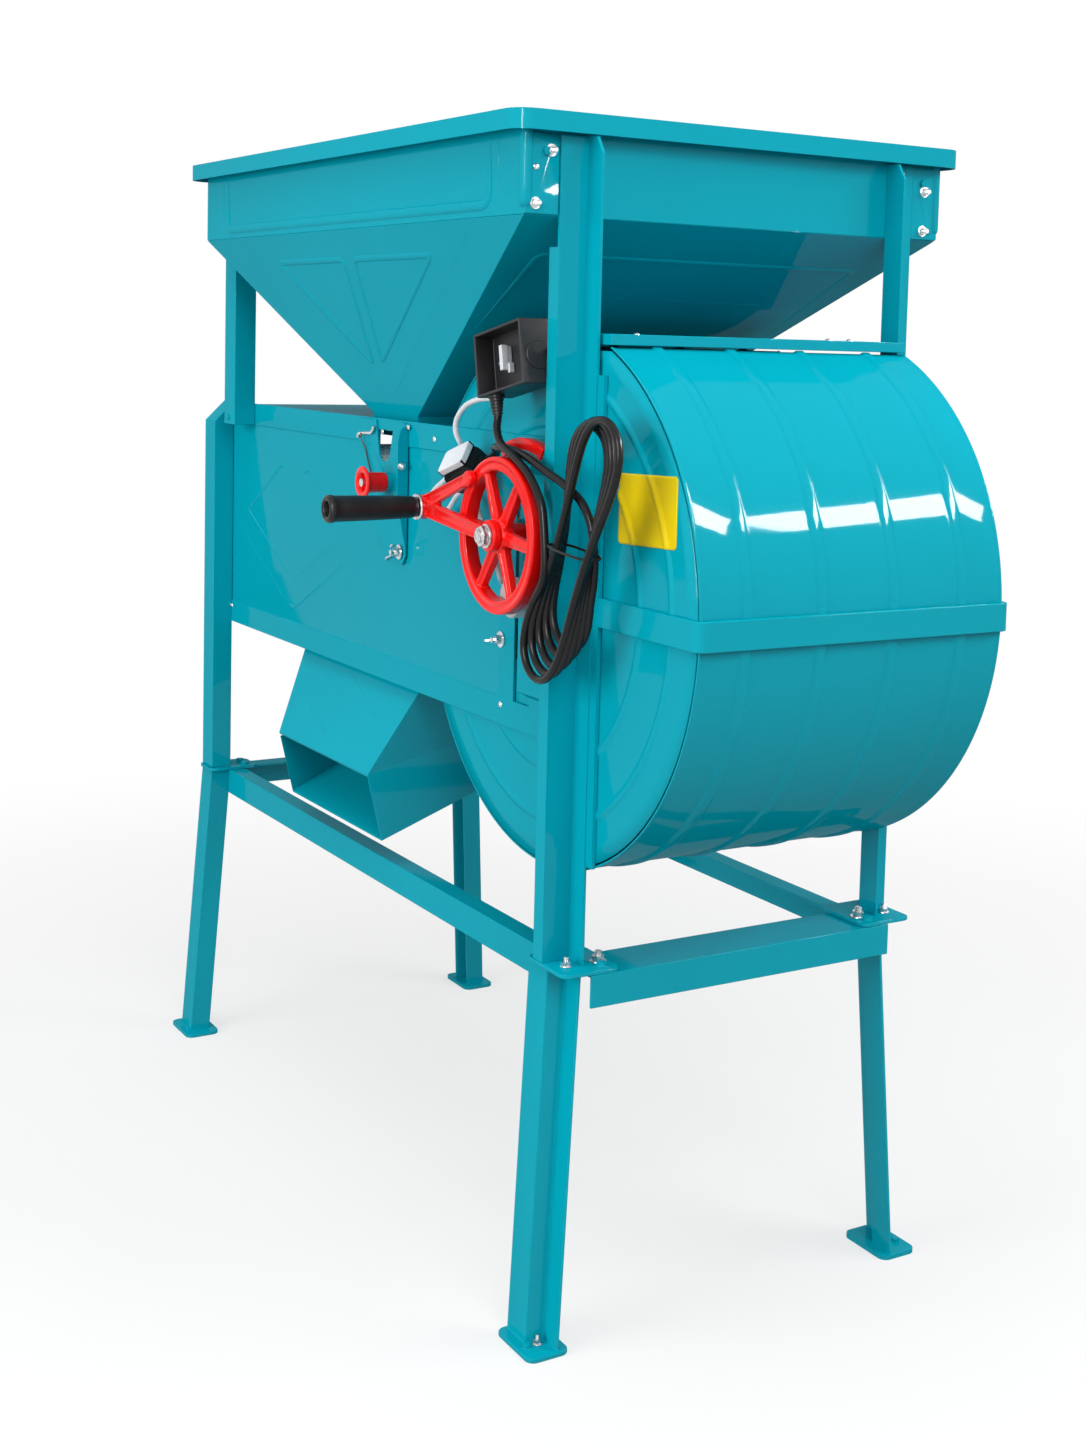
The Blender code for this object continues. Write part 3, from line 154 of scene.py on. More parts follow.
class Finish:
    """A material, its Principled shader and a way to add nodes to it."""

    def __init__(self, name, colour, rough, metal=0.0, **sockets):
        self.material = bpy.data.materials.new(name)
        self.material.use_nodes = True
        self.tree = self.material.node_tree
        self.shader = self.tree.nodes["Principled BSDF"]
        self.set("Base Color", (*colour, 1.0))
        self.set("Roughness", rough)
        self.set("Metallic", metal)
        for words, value in sockets.items():
            self.set(words.replace("_", " ").title().replace("Ior", "IOR"), value)
        self.material.diffuse_color = (*colour, 1.0)

    def set(self, name, value):
        """Give a socket of the shader a value, or a link."""
        self.feed(self.shader.inputs[name], value)

    def feed(self, socket, value):
        if isinstance(value, Value):
            self.tree.links.new(value.socket, socket)
        else:
            socket.default_value = value

    def node(self, kind, settings=None, values=None, out=0):
        """Add a node: its settings first, then its sockets, then one of its outputs."""
        made = self.tree.nodes.new(kind)
        for name, value in (settings or {}).items():
            if name == "stops":
                fill_ramp(made.color_ramp, value)
            else:
                setattr(made, name, value)
        for name, value in (values or {}).items():
            self.feed(made.inputs[name], value)
        return Value(self, made.outputs[out])

    def place(self):
        """The point of the surface in metres, which moves with the piece."""
        return self.node("ShaderNodeTexCoord", out="Object")

    def noise(self, scale, detail=3.0, stretch=None):
        """Soft noise between 0 and 1, stretched along the axes if asked."""
        where = self.place()
        if stretch:
            where = self.node("ShaderNodeVectorMath", {"operation": "MULTIPLY"}, {0: where, 1: stretch})
        values = {"Vector": where, "Scale": scale, "Detail": detail}
        return self.node("ShaderNodeTexNoise", values=values)

    def ramp(self, value, *stops):
        """Map a value through (position, grey or colour) stops."""
        return self.node("ShaderNodeValToRGB", {"stops": stops}, {0: value})

    def mix(self, factor, first, second):
        """Mix two colours."""
        return self.node("ShaderNodeMix", {"data_type": "RGBA"}, {0: factor, 6: first, 7: second}, out=2)

    def bump(self, height, depth, strength=1.0):
        """Feed a height in metres times depth to the shader's normal."""
        values = {"Height": height, "Distance": depth, "Strength": strength}
        self.set("Normal", self.node("ShaderNodeBump", values=values))


def fill_ramp(ramp, stops):
    """Put the stops on a colour ramp."""
    while len(ramp.elements) < len(stops):
        ramp.elements.new(0.5)
    for element, (position, tone) in zip(ramp.elements, stops):
        element.position = position
        element.color = (*tone, 1.0) if isinstance(tone, tuple) else (tone, tone, tone, 1.0)


print("shader helper ready")


# %% [markdown]
# ## Gloss paint on sheet steel
#
# Sheet metal of farm machines is dipped or sprayed in one thick gloss coat. Seen close, the
# coat has a faint orange peel, which breaks up reflections, and it is slightly thicker in
# some places, so its tone wanders by a few percent. A clear coat over a duller base gives
# the sharp highlight on top of the softer one.

# %% Paints
def sprayed(name, colour, thin, rough=0.34, peel=0.00006):
    """Sprayed gloss coat whose tone and sheen wander a little."""
    paint = Finish(name, colour, rough, coat_weight=0.09, coat_roughness=0.05, coat_ior=1.9,
                   specular_ior_level=0.0)
    cloud = paint.ramp(paint.noise(2.6, 4.0), (0.35, 0.0), (0.70, 1.0))
    dust = paint.ramp(paint.noise(38.0, 6.0), (0.60, 0.0), (0.80, 0.30))
    paint.set("Base Color", paint.mix(dust * 0.20 + cloud * 0.55, (*colour, 1), (*thin, 1)))
    paint.set("Roughness", paint.noise(24.0, 4.0) * 0.10 + (rough - 0.05))
    paint.bump(paint.noise(310.0, 2.0) + paint.noise(60.0, 2.0) * 0.8, peel)
    return paint.material


def teal_paint():
    """The machine's blue-green sheet metal coat."""
    return sprayed("teal_paint", (0.0008, 0.352, 0.455), (0.0012, 0.318, 0.405))


def red_paint():
    """Red coat over sand-cast iron, whose grain shows through."""
    colour, thin = (0.860, 0.0050, 0.0040), (0.740, 0.0040, 0.0030)
    paint = Finish("red_paint", colour, 0.30, coat_weight=0.35, coat_roughness=0.08, coat_ior=1.4,
                   specular_ior_level=0.15)
    cloud = paint.ramp(paint.noise(16.0, 3.0), (0.40, 0.0), (0.65, 1.0))
    paint.set("Base Color", paint.mix(cloud * 0.6, (*colour, 1), (*thin, 1)))
    paint.set("Roughness", paint.noise(70.0, 3.0) * 0.16 + 0.22)
    paint.bump(paint.noise(420.0, 4.0) + paint.noise(110.0, 2.0), 0.00014)
    return paint.material


TEAL = teal_paint()
RED = red_paint()
print("paints:", TEAL.name, RED.name)


# %% [markdown]
# ## Metals, plastics and rubber
#
# Zinc plating is bright but never even: it has a fine grain and cloudy patches. Hardened gears
# are blackened and oily. Moulded plastic has a spark-eroded grain, and a cord's rubber has
# fine streaks from the die that it was pressed through.

# %% Metals
def zinc():
    """Bright zinc plating with cloudy patches."""
    metal = Finish("zinc_plate", (0.66, 0.67, 0.68), 0.3, 1.0)
    cloud = metal.noise(180.0, 5.0)
    tones = metal.ramp(cloud, (0.30, (0.44, 0.44, 0.45)), (0.55, (0.72, 0.73, 0.74)),
                       (0.8, (0.84, 0.84, 0.82)))
    metal.set("Base Color", tones)
    metal.set("Roughness", cloud * 0.26 + 0.16)
    metal.bump(metal.noise(900.0, 3.0), 0.00005)
    return metal.material


def blackened():
    """Oil-blackened steel of gears and fan blades."""
    metal = Finish("blackened_steel", (0.05, 0.05, 0.055), 0.4, 0.9)
    stain = metal.noise(60.0, 5.0)
    metal.set("Base Color", metal.mix(stain, (0.030, 0.030, 0.034, 1), (0.115, 0.110, 0.105, 1)))
    metal.set("Roughness", stain * 0.30 + 0.25)
    metal.bump(metal.noise(500.0, 3.0), 0.00008)
    return metal.material


def cast_alloy():
    """Light grey cast motor housing."""
    metal = Finish("cast_alloy", (0.56, 0.58, 0.59), 0.45, 0.25)
    cloud = metal.noise(90.0, 4.0)
    metal.set("Base Color", metal.mix(cloud, (0.46, 0.48, 0.49, 1), (0.66, 0.68, 0.69, 1)))
    metal.set("Roughness", cloud * 0.22 + 0.34)
    metal.bump(metal.noise(600.0, 4.0), 0.00012)
    return metal.material


# %% Plastics and rubber
def moulded(name, colour, worn, rough, grain, depth):
    """Moulded plastic with a fine spark-eroded grain."""
    plastic = Finish(name, colour, rough, specular_ior_level=0.25)
    cloud = plastic.ramp(plastic.noise(30.0, 5.0), (0.42, 0.0), (0.72, 1.0))
    plastic.set("Base Color", plastic.mix(cloud, (*colour, 1), (*worn, 1)))
    plastic.set("Roughness", cloud * 0.10 + (rough - 0.04))
    plastic.bump(plastic.noise(grain, 2.0), depth)
    return plastic.material


def cord_rubber():
    """Soft black jacket of a mains cord, a little shiny where it bends."""
    rubber = Finish("cord_rubber", (0.008, 0.008, 0.009), 0.38, specular_ior_level=0.20)
    cloud = rubber.noise(45.0, 4.0)
    rubber.set("Base Color", rubber.mix(cloud, (0.006, 0.006, 0.007, 1), (0.013, 0.013, 0.014, 1)))
    rubber.set("Roughness", cloud * 0.16 + 0.20)
    rubber.bump(rubber.noise(380.0, 2.0), 0.00006)
    return rubber.material


ZINC = zinc()
GEAR_BLACK = blackened()
ALLOY = cast_alloy()
BLACK = moulded("black_housing", (0.016, 0.016, 0.018), (0.028, 0.028, 0.030), 0.42, 900.0, 0.00005)
GRIP_BLACK = moulded("grip_rubber", (0.012, 0.012, 0.013), (0.022, 0.022, 0.023), 0.36, 420.0, 0.00010)
WHITE = moulded("white_plastic", (0.72, 0.75, 0.78), (0.64, 0.68, 0.71), 0.34, 700.0, 0.00003)
CORD_BLACK = cord_rubber()
LABEL = moulded("plain_label", (0.83, 0.62, 0.0030), (0.76, 0.56, 0.0040), 0.38, 500.0, 0.00002)


# %% [markdown]
# ## The studio
#
# A white cyclorama is faked with light paths: the camera and mirror-like rays see plain
# white, while the light that falls on the machine stays modest. The floor is matt and pale,
# and lifts itself to white only for the camera, so that just the soft shadow stays on it.

# %% Backdrop and floor
def light_ways(tree):
    """1 for rays that come from the camera, a mirror or glass."""
    paths = tree.nodes.new("ShaderNodeLightPath")
    total = None
    for name in ("Is Camera Ray", "Is Glossy Ray", "Is Transmission Ray"):
        if total is None:
            total = paths.outputs[name]
            continue
        add = tree.nodes.new("ShaderNodeMath")
        add.operation = "MAXIMUM"
        tree.links.new(total, add.inputs[0])
        tree.links.new(paths.outputs[name], add.inputs[1])
        total = add.outputs[0]
    return total


def make_world(ambient):
    """White to look at, ambient to be lit by."""
    world = bpy.data.worlds.new("studio")
    bpy.context.scene.world = world
    world.use_nodes = True
    tree = world.node_tree
    background = tree.nodes["Background"]
    background.inputs["Color"].default_value = (1, 1, 1, 1)
    spread = tree.nodes.new("ShaderNodeMapRange")
    spread.inputs["To Min"].default_value = ambient
    spread.inputs["To Max"].default_value = 1.0
    tree.links.new(light_ways(tree), spread.inputs["Value"])
    tree.links.new(spread.outputs["Result"], background.inputs["Strength"])


FLOOR_SIZE = 24
SHADOW_FROM, SHADOW_TO = 0.9, 2.4      # the shadow fades to white between these distances


def make_floor(lift):
    """Large matt floor that glows a little for the camera alone."""
    bpy.ops.mesh.primitive_plane_add(size=FLOOR_SIZE, location=(0, 0, 0))
    floor = bpy.context.object
    floor.name = "studio_floor"
    pale = Finish("floor_matt", (0.32, 0.32, 0.32), 0.9, specular_ior_level=0.0)
    grain = pale.noise(3.0, 2.0)
    pale.set("Base Color", pale.mix(grain, (0.31, 0.31, 0.31, 1), (0.33, 0.33, 0.33, 1)))
    tree = pale.tree
    glow = tree.nodes.new("ShaderNodeEmission")
    seen = Value(pale, light_ways(tree))
    pale.feed(glow.inputs["Strength"], seen * lift)
    both = tree.nodes.new("ShaderNodeAddShader")
    tree.links.new(pale.shader.outputs[0], both.inputs[0])
    tree.links.new(glow.outputs[0], both.inputs[1])
    white = tree.nodes.new("ShaderNodeEmission")
    away = pale.node("ShaderNodeVectorMath", {"operation": "LENGTH"}, {0: pale.place()}, out=1)
    far = pale.node("ShaderNodeMapRange", {"interpolation_type": "SMOOTHSTEP"},
                    {0: away, 1: SHADOW_FROM, 2: SHADOW_TO, 3: 0.0, 4: 1.0})
    pick = tree.nodes.new("ShaderNodeMixShader")
    pale.feed(pick.inputs[0], seen * far)
    tree.links.new(both.outputs[0], pick.inputs[1])
    tree.links.new(white.outputs[0], pick.inputs[2])
    tree.links.new(pick.outputs[0], tree.nodes["Material Output"].inputs["Surface"])
    floor.data.materials.append(pale.material)
    return floor


make_world(ambient=0.42)
FLOOR = make_floor(lift=0.62)
print("floor:", FLOOR.name, FLOOR_SIZE, "m across")


# %% [markdown]
# Large soft boxes give plain, even light. Their reflections are a second question, because they
# are what the eye reads as gloss, and a big box mirrored in a flat sheet hides its colour. So
# four large lamps only light the paint, and two narrow strips are only mirrored in it: a lying
# one for the band along the drum, and an upright one for the edges near the crank.

# %% Soft boxes
def softbox(name, place, target, size, power, mirror_only=False):
    """Rectangular lamp that faces a point, and either lights or is only mirrored."""
    data = bpy.data.lights.new(name, "AREA")
    data.shape = "RECTANGLE"
    data.size, data.size_y = size
    data.energy = power
    lamp = bpy.data.objects.new(name, data)
    lamp.visible_camera = False
    lamp.visible_diffuse = not mirror_only
    lamp.visible_glossy = mirror_only
    bpy.context.scene.collection.objects.link(lamp)
    aim = Vector(target) - Vector(place)
    lamp.matrix_world = Matrix.Translation(place) @ aim.to_track_quat("-Z", "Y").to_matrix().to_4x4()
    return lamp


DRUM_MIDDLE = (0.62, 0.05, 0.87)
softbox("lamp_above", (0.5, -0.3, 3.4), (0.2, 0, 0.7), (2.4, 2.4), 44)
softbox("lamp_drum_end", (3.3, -0.9, 2.4), (0.4, 0, 0.85), (2.0, 2.0), 56)
softbox("lamp_far_side", (2.0, 2.25, 2.37), DRUM_MIDDLE, (1.9, 0.5), 36)
softbox("lamp_crank_side", (0.2, -3.4, 1.25), (0.1, -0.1, 0.8), (2.2, 2.0), 72)
softbox("strip_mirrored", (1.94, 2.35, 2.33), DRUM_MIDDLE, (2.1, 0.34), 210, mirror_only=True)
softbox("edge_mirrored", (2.3, -2.7, 1.9), (0.4, 0, 0.85), (0.42, 2.2), 115, mirror_only=True)
bpy.context.scene.view_settings.view_transform = "Standard"


# %% [markdown]
# ## Pieces
#
# Every piece that is added or remade goes through one door: it is linked, gets its finish and
# rides on a body of the machine. Folded sheet has no knife edges, so
# each sheet solid is shown as a copy with its flat facets merged and its edges rolled by a
# Bevel modifier. Merging first matters, because a bevel needs clean faces to run along.

# %% One door for all pieces
def own(piece, body, finish, smooth=True):
    """Link a piece, dress it and let it ride on a body."""
    if piece.name not in bpy.context.scene.collection.objects:
        bpy.context.scene.collection.objects.link(piece)
    piece.data.materials.clear()
    piece.data.materials.append(finish)
    if smooth and piece.type == "MESH":
        piece.data.polygons.foreach_set("use_smooth", [True] * len(piece.data.polygons))
        piece.data.set_sharp_from_angle(angle=math.radians(38))
    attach(piece, body)
    return piece


def mesh_of(name, bm):
    """Store a bmesh as a mesh and free it."""
    mesh = bpy.data.meshes.new(name)
    bm.to_mesh(mesh)
    bm.free()
    return mesh


def from_bmesh(name, bm, body, finish):
    """Make a piece from a bmesh, its faces turned outwards."""
    bmesh.ops.recalc_face_normals(bm, faces=bm.faces)
    return own(bpy.data.objects.new(name, mesh_of(name, bm)), body, finish)


def roll_edges(piece, width, segments=3, sharp=30, harden=False):
    """Round every edge that is sharper than an angle in degrees."""
    bevel = piece.modifiers.new("rolled_edge", "BEVEL")
    bevel.width = width
    bevel.segments = segments
    bevel.limit_method = "ANGLE"
    bevel.angle_limit = math.radians(sharp)
    bevel.harden_normals = harden


def thicken(piece, thickness, offset):
    """Give a sheet its thickness, on the side that offset says."""
    solid = piece.modifiers.new("sheet", "SOLIDIFY")
    solid.thickness = thickness
    solid.offset = offset


def skin(bm, rows, ring=False, loop=False):
    """Lay faces between rows of points. Ring closes each row, loop joins the last to the first."""
    pairs = list(zip(rows, rows[1:]))
    if loop:
        pairs.append((rows[-1], rows[0]))
    for first, second in pairs:
        for k in range(len(first) if ring else len(first) - 1):
            m = (k + 1) % len(first)
            bm.faces.new((first[k], second[k], second[m], first[m]))


WELD = 0.00002
FLAT = math.radians(0.6)
SHEET_ROLL = 0.0008
LEG_ROLL = 0.0011


def rolled(node, finish, width=SHEET_ROLL, body="machine", segments=2):
    """Copy of a solid with rolled edges, which stands for it."""
    bm = bmesh.new()
    bm.from_mesh(NODES[node].data)
    bmesh.ops.remove_doubles(bm, verts=bm.verts, dist=WELD)
    bmesh.ops.dissolve_limit(bm, angle_limit=FLAT, verts=bm.verts, edges=bm.edges)
    piece = from_bmesh(node + "_skin", bm, body, finish)
    roll_edges(piece, width, segments, sharp=34, harden=True)
    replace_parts(piece, node)
    return piece


FOLDED = [name for name in NODES if name.startswith(("leg_", "rail_", "knee_", "post_", "duct_"))]
FOLDED += ["hopper_band", "hopper_cone", "hopper_rim", "grain_chute", "drum_cover", "drum_strap",
           "drive_bracket", "bearing_bridge_back", "regulator_plate"]
for name in FOLDED:
    rolled(name, TEAL, LEG_ROLL if name.startswith("leg_") else SHEET_ROLL)
print("rolled edges on", len(FOLDED), "sheet pieces")

# %% [markdown]
# ## Turning and pressing
#
# Most small hardware is turned on a lathe, so one helper spins an outline of (radius, height)
# points round an axis. With six steps instead of thirty-two, the same helper makes a hexagon
# nut with its chamfered corners. `aimed` gives the matrix that stands a piece on a surface.

# %% Lathe helpers
def aimed(place, direction, turn=0.0):
    """Matrix at a place whose Z axis points along a direction."""
    facing = Vector(direction).to_track_quat("Z", "Y").to_matrix().to_4x4()
    return Matrix.Translation(place) @ facing @ Matrix.Rotation(turn, 4, "Z")


def lathe(bm, outline, where, steps=32, closed=False):
    """Spin (radius, height) points round the local Z axis into a closed solid."""
    rings = []
    for radius, height in outline:
        count = steps if radius else 1
        turns = [2 * math.pi * i / steps for i in range(count)]
        rings.append([bm.verts.new(where @ Vector((radius * math.cos(a), radius * math.sin(a), height)))
                      for a in turns])
    pairs = list(zip(rings, rings[1:]))
    if closed:
        pairs.append((rings[-1], rings[0]))
    for low, high in pairs:
        for i in range(steps):
            j = (i + 1) % steps
            corners = [low[i % len(low)], low[j % len(low)], high[j % len(high)], high[i % len(high)]]
            bm.faces.new(list(dict.fromkeys(corners)))


def turned_piece(name, outline, where, body, finish, steps=48, closed=False):
    """One turned piece of its own."""
    bm = bmesh.new()
    lathe(bm, outline, where, steps, closed)
    return from_bmesh(name, bm, body, finish)


def rounded_line(points, radius, closed=False, steps=4):
    """Polyline in space with its corners rounded."""
    points = [Vector(p) for p in points]
    line = []
    for i, corner in enumerate(points):
        if not closed and i in (0, len(points) - 1):
            line.append(corner)
            continue
        before, after = points[i - 1], points[(i + 1) % len(points)]
        start = corner + (before - corner).normalized() * radius
        end = corner + (after - corner).normalized() * radius
        for k in range(steps + 1):
            t = k / steps
            line.append(start * (1 - t) ** 2 + corner * 2 * t * (1 - t) + end * t * t)
    return line


# %% [markdown]
# Stiffening beads are pressed into the panels before painting. A bead is a low round ridge, so
# a half-cosine section is swept along its line, its root a little inside the sheet. Where a
# bead ends, the press leaves a soft run-out, which the last section makes by shrinking.

# %% Pressed beads
BEAD_SECTION = [(math.sin(a), math.cos(a)) for a in (-1.45, -1.0, -0.5, 0.0, 0.5, 1.0, 1.45)]


def add_bead(bm, line, normal, width, height, closed=False):
    """Sweep a low ridge along a line on a flat face."""
    normal = Vector(normal).normalized()
    rings = []
    count = len(line)
    for i, point in enumerate(line):
        before = line[i - 1] if closed or i > 0 else line[i]
        after = line[(i + 1) % count] if closed or i < count - 1 else line[i]
        side = (after - before).normalized().cross(normal)
        fade = 0.25 if not closed and i in (0, count - 1) else 1.0
        ring = [point + side * (u * width / 2 * fade) + normal * (height * (h * fade - 0.12))
                for u, h in BEAD_SECTION]
        ring += [point + side * (width * 0.3 * fade) - normal * height * 0.5,
                 point - side * (width * 0.3 * fade) - normal * height * 0.5]
        rings.append([bm.verts.new(p) for p in ring])
    pairs = list(zip(rings, rings[1:]))
    if closed:
        pairs.append((rings[-1], rings[0]))
    for first, second in pairs:
        for k in range(len(first)):
            m = (k + 1) % len(first)
            bm.faces.new((first[k], first[m], second[m], second[k]))
    if not closed:
        bm.faces.new(rings[0])
        bm.faces.new(rings[-1])


def beads(name, lines, normal, width, height, closed=False, corner=0.012):
    """One piece holding several beads of a face."""
    bm = bmesh.new()
    for points in lines:
        add_bead(bm, rounded_line(points, corner, closed), normal, width, height, closed)
    return from_bmesh(name, bm, "machine", TEAL)


def along_face(origin, normal):
    """Function that finds y on a sloping face from x and z, or x from y and z."""
    origin, normal = Vector(origin), Vector(normal)

    def point(x=None, y=None, z=0.0):
        if y is None:
            y = origin.y - (normal.x * (x - origin.x) + normal.z * (z - origin.z)) / normal.y
        if x is None:
            x = origin.x - (normal.y * (y - origin.y) + normal.z * (z - origin.z)) / normal.x
        return at(x, y, z)
    return point


# %% [markdown]
# ## The fan drum's sheets
#
# The drum is rolled from three sheets, each with four raised ribs that were rolled in before
# bending. The solids have few facets, so the sheets are swept again here in fine steps from
# the same radii. The outer edges carry a small rolled lip over the flat side plates.

# %% Drum shells
DRUM_R = 0.283
DRUM_HALF = 0.1857
RIB_Y = (-0.132, -0.044, 0.044, 0.132)
RIB_HALF = 0.008
RIB_H = 0.0021
SHEET = 0.002
HALF_RIB = ((0.44, 1.0), (0.58, 0.92), (0.72, 0.5), (0.86, 0.08), (1.0, 0.0), (1.2, 0.0), (1.5, 0.0))
RIB_SECTION = [(-share, rise) for share, rise in reversed(HALF_RIB)] + [(0.0, 1.0), *HALF_RIB]
LIP = ((-0.0004, 0.0), (0.0007, 0.0008), (0.0010, 0.0022), (0.0004, 0.0036), (0.0, 0.0050))


def rib_line():
    """(radius, y) points across the drum sheet."""
    edge = [(DRUM_R + rise, -DRUM_HALF + inset) for rise, inset in LIP]
    ribs = [(DRUM_R + RIB_H * rise, middle_y + RIB_HALF * share)
            for middle_y in RIB_Y for share, rise in RIB_SECTION]
    return edge + ribs + [(r, -y) for r, y in reversed(edge)]


def drum_sheet(name, node, begin, end, step=1.6):
    """Sweep the rib line round the fan's axis between two angles."""
    bm = bmesh.new()
    count = max(2, round((end - begin) / step))
    rows = []
    for i in range(count + 1):
        angle = math.radians(begin + (end - begin) * i / count)
        rows.append([bm.verts.new(at(FAN[0] + r * math.cos(angle), y, FAN[1] + r * math.sin(angle)))
                     for r, y in rib_line()])
    skin(bm, rows)
    piece = own(bpy.data.objects.new(name, mesh_of(name, bm)), "machine", TEAL)
    thicken(piece, SHEET, 1.0)
    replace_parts(piece, node)


FLAT_TOP = 1.0225
FLAT_ANGLE = math.degrees(math.asin((FLAT_TOP - FAN[1]) / DRUM_R))
BAND_JOINT = (-0.45, 359.44)            # the upper sheet's start and the lower sheet's end
DUCT_JOINT = (144.33, 212.48)           # where the rear and the lower sheet meet the duct
drum_sheet("drum_sheet_upper", "drum_shell_upper", BAND_JOINT[0], FLAT_ANGLE)
drum_sheet("drum_sheet_rear", "drum_shell_rear", 180 - FLAT_ANGLE, DUCT_JOINT[0])
drum_sheet("drum_sheet_lower", "drum_shell_lower", DUCT_JOINT[1], BAND_JOINT[1])
print("drum sheets flatten at", round(FLAT_ANGLE, 1), "degrees")

# %% Drum side plates
SIDE_Y = 0.1835
SIDE_BEADS = (0.180, 0.236)
BEAD_HALF = 0.006
BEAD_RISE = 0.0020
INLET_R = 0.100
SIDE_TOP = 1.0190
SIDE_STEPS = 220


def side_rise(radius):
    """How far a side plate stands proud at a radius."""
    for bead in SIDE_BEADS:
        if abs(radius - bead) < BEAD_HALF:
            return BEAD_RISE / 2 * (1 + math.cos(math.pi * (radius - bead) / BEAD_HALF))
    return 0.0


def drum_side(name, node, side):
    """Flat side plate with two round beads, cut off under the flattened top."""
    radii = [INLET_R, 0.130]
    for bead in SIDE_BEADS:
        radii += [bead + BEAD_HALF * share / 6 for share in range(-6, 7)]
    radii += [0.262, DRUM_R - 0.0030]
    bm = bmesh.new()
    rows = []
    for i in range(SIDE_STEPS):
        angle = 2 * math.pi * i / SIDE_STEPS
        rows.append([bm.verts.new((FAN[0] + r * math.cos(angle), side * (SIDE_Y + side_rise(r)),
                                   FAN[1] + r * math.sin(angle))) for r in radii])
    skin(bm, rows, loop=True)
    bmesh.ops.bisect_plane(bm, geom=bm.verts[:] + bm.edges[:] + bm.faces[:],
                           plane_co=(0, 0, SIDE_TOP), plane_no=(0, 0, 1), clear_outer=True)
    bm.transform(Matrix.Translation(SHIFT))
    piece = own(bpy.data.objects.new(name, mesh_of(name, bm)), "machine", TEAL)
    thicken(piece, SHEET, side)
    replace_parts(piece, node)


drum_side("drum_plate_front", "drum_side_front", -1)
drum_side("drum_plate_back", "drum_side_back", 1)
print("side plates beaded at", SIDE_BEADS)

# %% [markdown]
# ## Pressed figures on the flat sheets
#
# Large flat sheets drum when the fan runs, so they are pressed with plain figures: two
# tapering panels on the hopper's long slopes, trapezoids on its end slopes, nested diamonds on
# the duct's sides and one open diamond on the chute. The band has a ledge and two uprights.

# %% Hopper figures
BAND_FOOT = 1.150                       # the slopes run from the band's foot
THROAT_TOP = 0.932                      # down to the throat
HOPPER_Y, THROAT_Y = 0.261, 0.160
DRUM_END_X, DUCT_END_X = 0.510, -0.389
BAND_FACE_Y = HOPPER_Y + 0.0002
SLOPE_DROP = BAND_FOOT - THROAT_TOP
SLOPE = math.atan2(SLOPE_DROP, HOPPER_Y - THROAT_Y)
END_SLOPE = math.atan2(SLOPE_DROP, DRUM_END_X - 0.070)
REAR_SLOPE = math.atan2(SLOPE_DROP, -DUCT_END_X - 0.060)
PANEL_TOP = 1.116
CREASE = (1.1495, 0.958)                # height of a crease's two ends
LEDGE_TOP, LEDGE_FOOT = 1.2285, 1.162
for side, word in ((-1, "front"), (1, "back")):
    normal = Vector((0, side * math.sin(SLOPE), -math.cos(SLOPE)))
    face = along_face((0, side * HOPPER_Y, BAND_FOOT), normal)
    panels = [[face(x=-0.165, z=PANEL_TOP), face(x=0.036, z=PANEL_TOP), face(x=0.001, z=0.993)],
              [face(x=0.067, z=PANEL_TOP), face(x=0.273, z=PANEL_TOP), face(x=0.029, z=0.996)]]
    beads(f"slope_panels_{word}", panels, normal, 0.0075, 0.0014, closed=True, corner=0.010)
    lines = [[face(x=top_x, z=CREASE[0]), face(x=foot_x, z=CREASE[1])]
             for top_x, foot_x in ((-0.286, 0.006), (0.400, 0.030))]
    beads(f"slope_creases_{word}", lines, normal, 0.006, 0.0010)
    band = [at(x, side * BAND_FACE_Y, z) for x, z in ((-0.309, LEDGE_TOP), (-0.309, LEDGE_FOOT),
                                                      (0.436, LEDGE_FOOT), (0.436, LEDGE_TOP))]
    beads(f"band_ledge_{word}", [band], (0, side, 0), 0.0110, 0.0022, corner=0.016)
    ends = [[at(x, side * BAND_FACE_Y, z) for z in (LEDGE_TOP, 1.178)] for x in (-0.326, 0.454)]
    beads(f"band_uprights_{word}", ends, (0, side, 0), 0.0070, 0.0020)
for name, x, slope, sign, outer, inner in (("drum_end", DRUM_END_X, END_SLOPE, 1, 0.439, 0.358),
                                           ("duct_end", DUCT_END_X, REAR_SLOPE, -1, -0.332, -0.270)):
    normal = Vector((sign * math.sin(slope), 0, -math.cos(slope)))
    face = along_face((x, 0, BAND_FOOT), normal)

    def on_slope(distance, y):
        """Point of the end slope at a distance along X and a place across."""
        return face(y=y, z=BAND_FOOT - abs(x - distance) * math.tan(slope))

    low = outer - sign * 0.158
    figures = [[on_slope(low, -0.194), on_slope(outer, -0.204), on_slope(outer, 0.204),
                on_slope(low, 0.194)],
               [on_slope(inner, -0.150), on_slope(inner, 0.132)],
               [on_slope(outer - sign * 0.044, 0.176), on_slope(inner, 0.168)]]
    beads(f"slope_figure_{name}", figures, normal, 0.0080, 0.0015, corner=0.010)
print("hopper slopes lean", [round(math.degrees(a), 1) for a in (SLOPE, END_SLOPE, REAR_SLOPE)], "degrees")

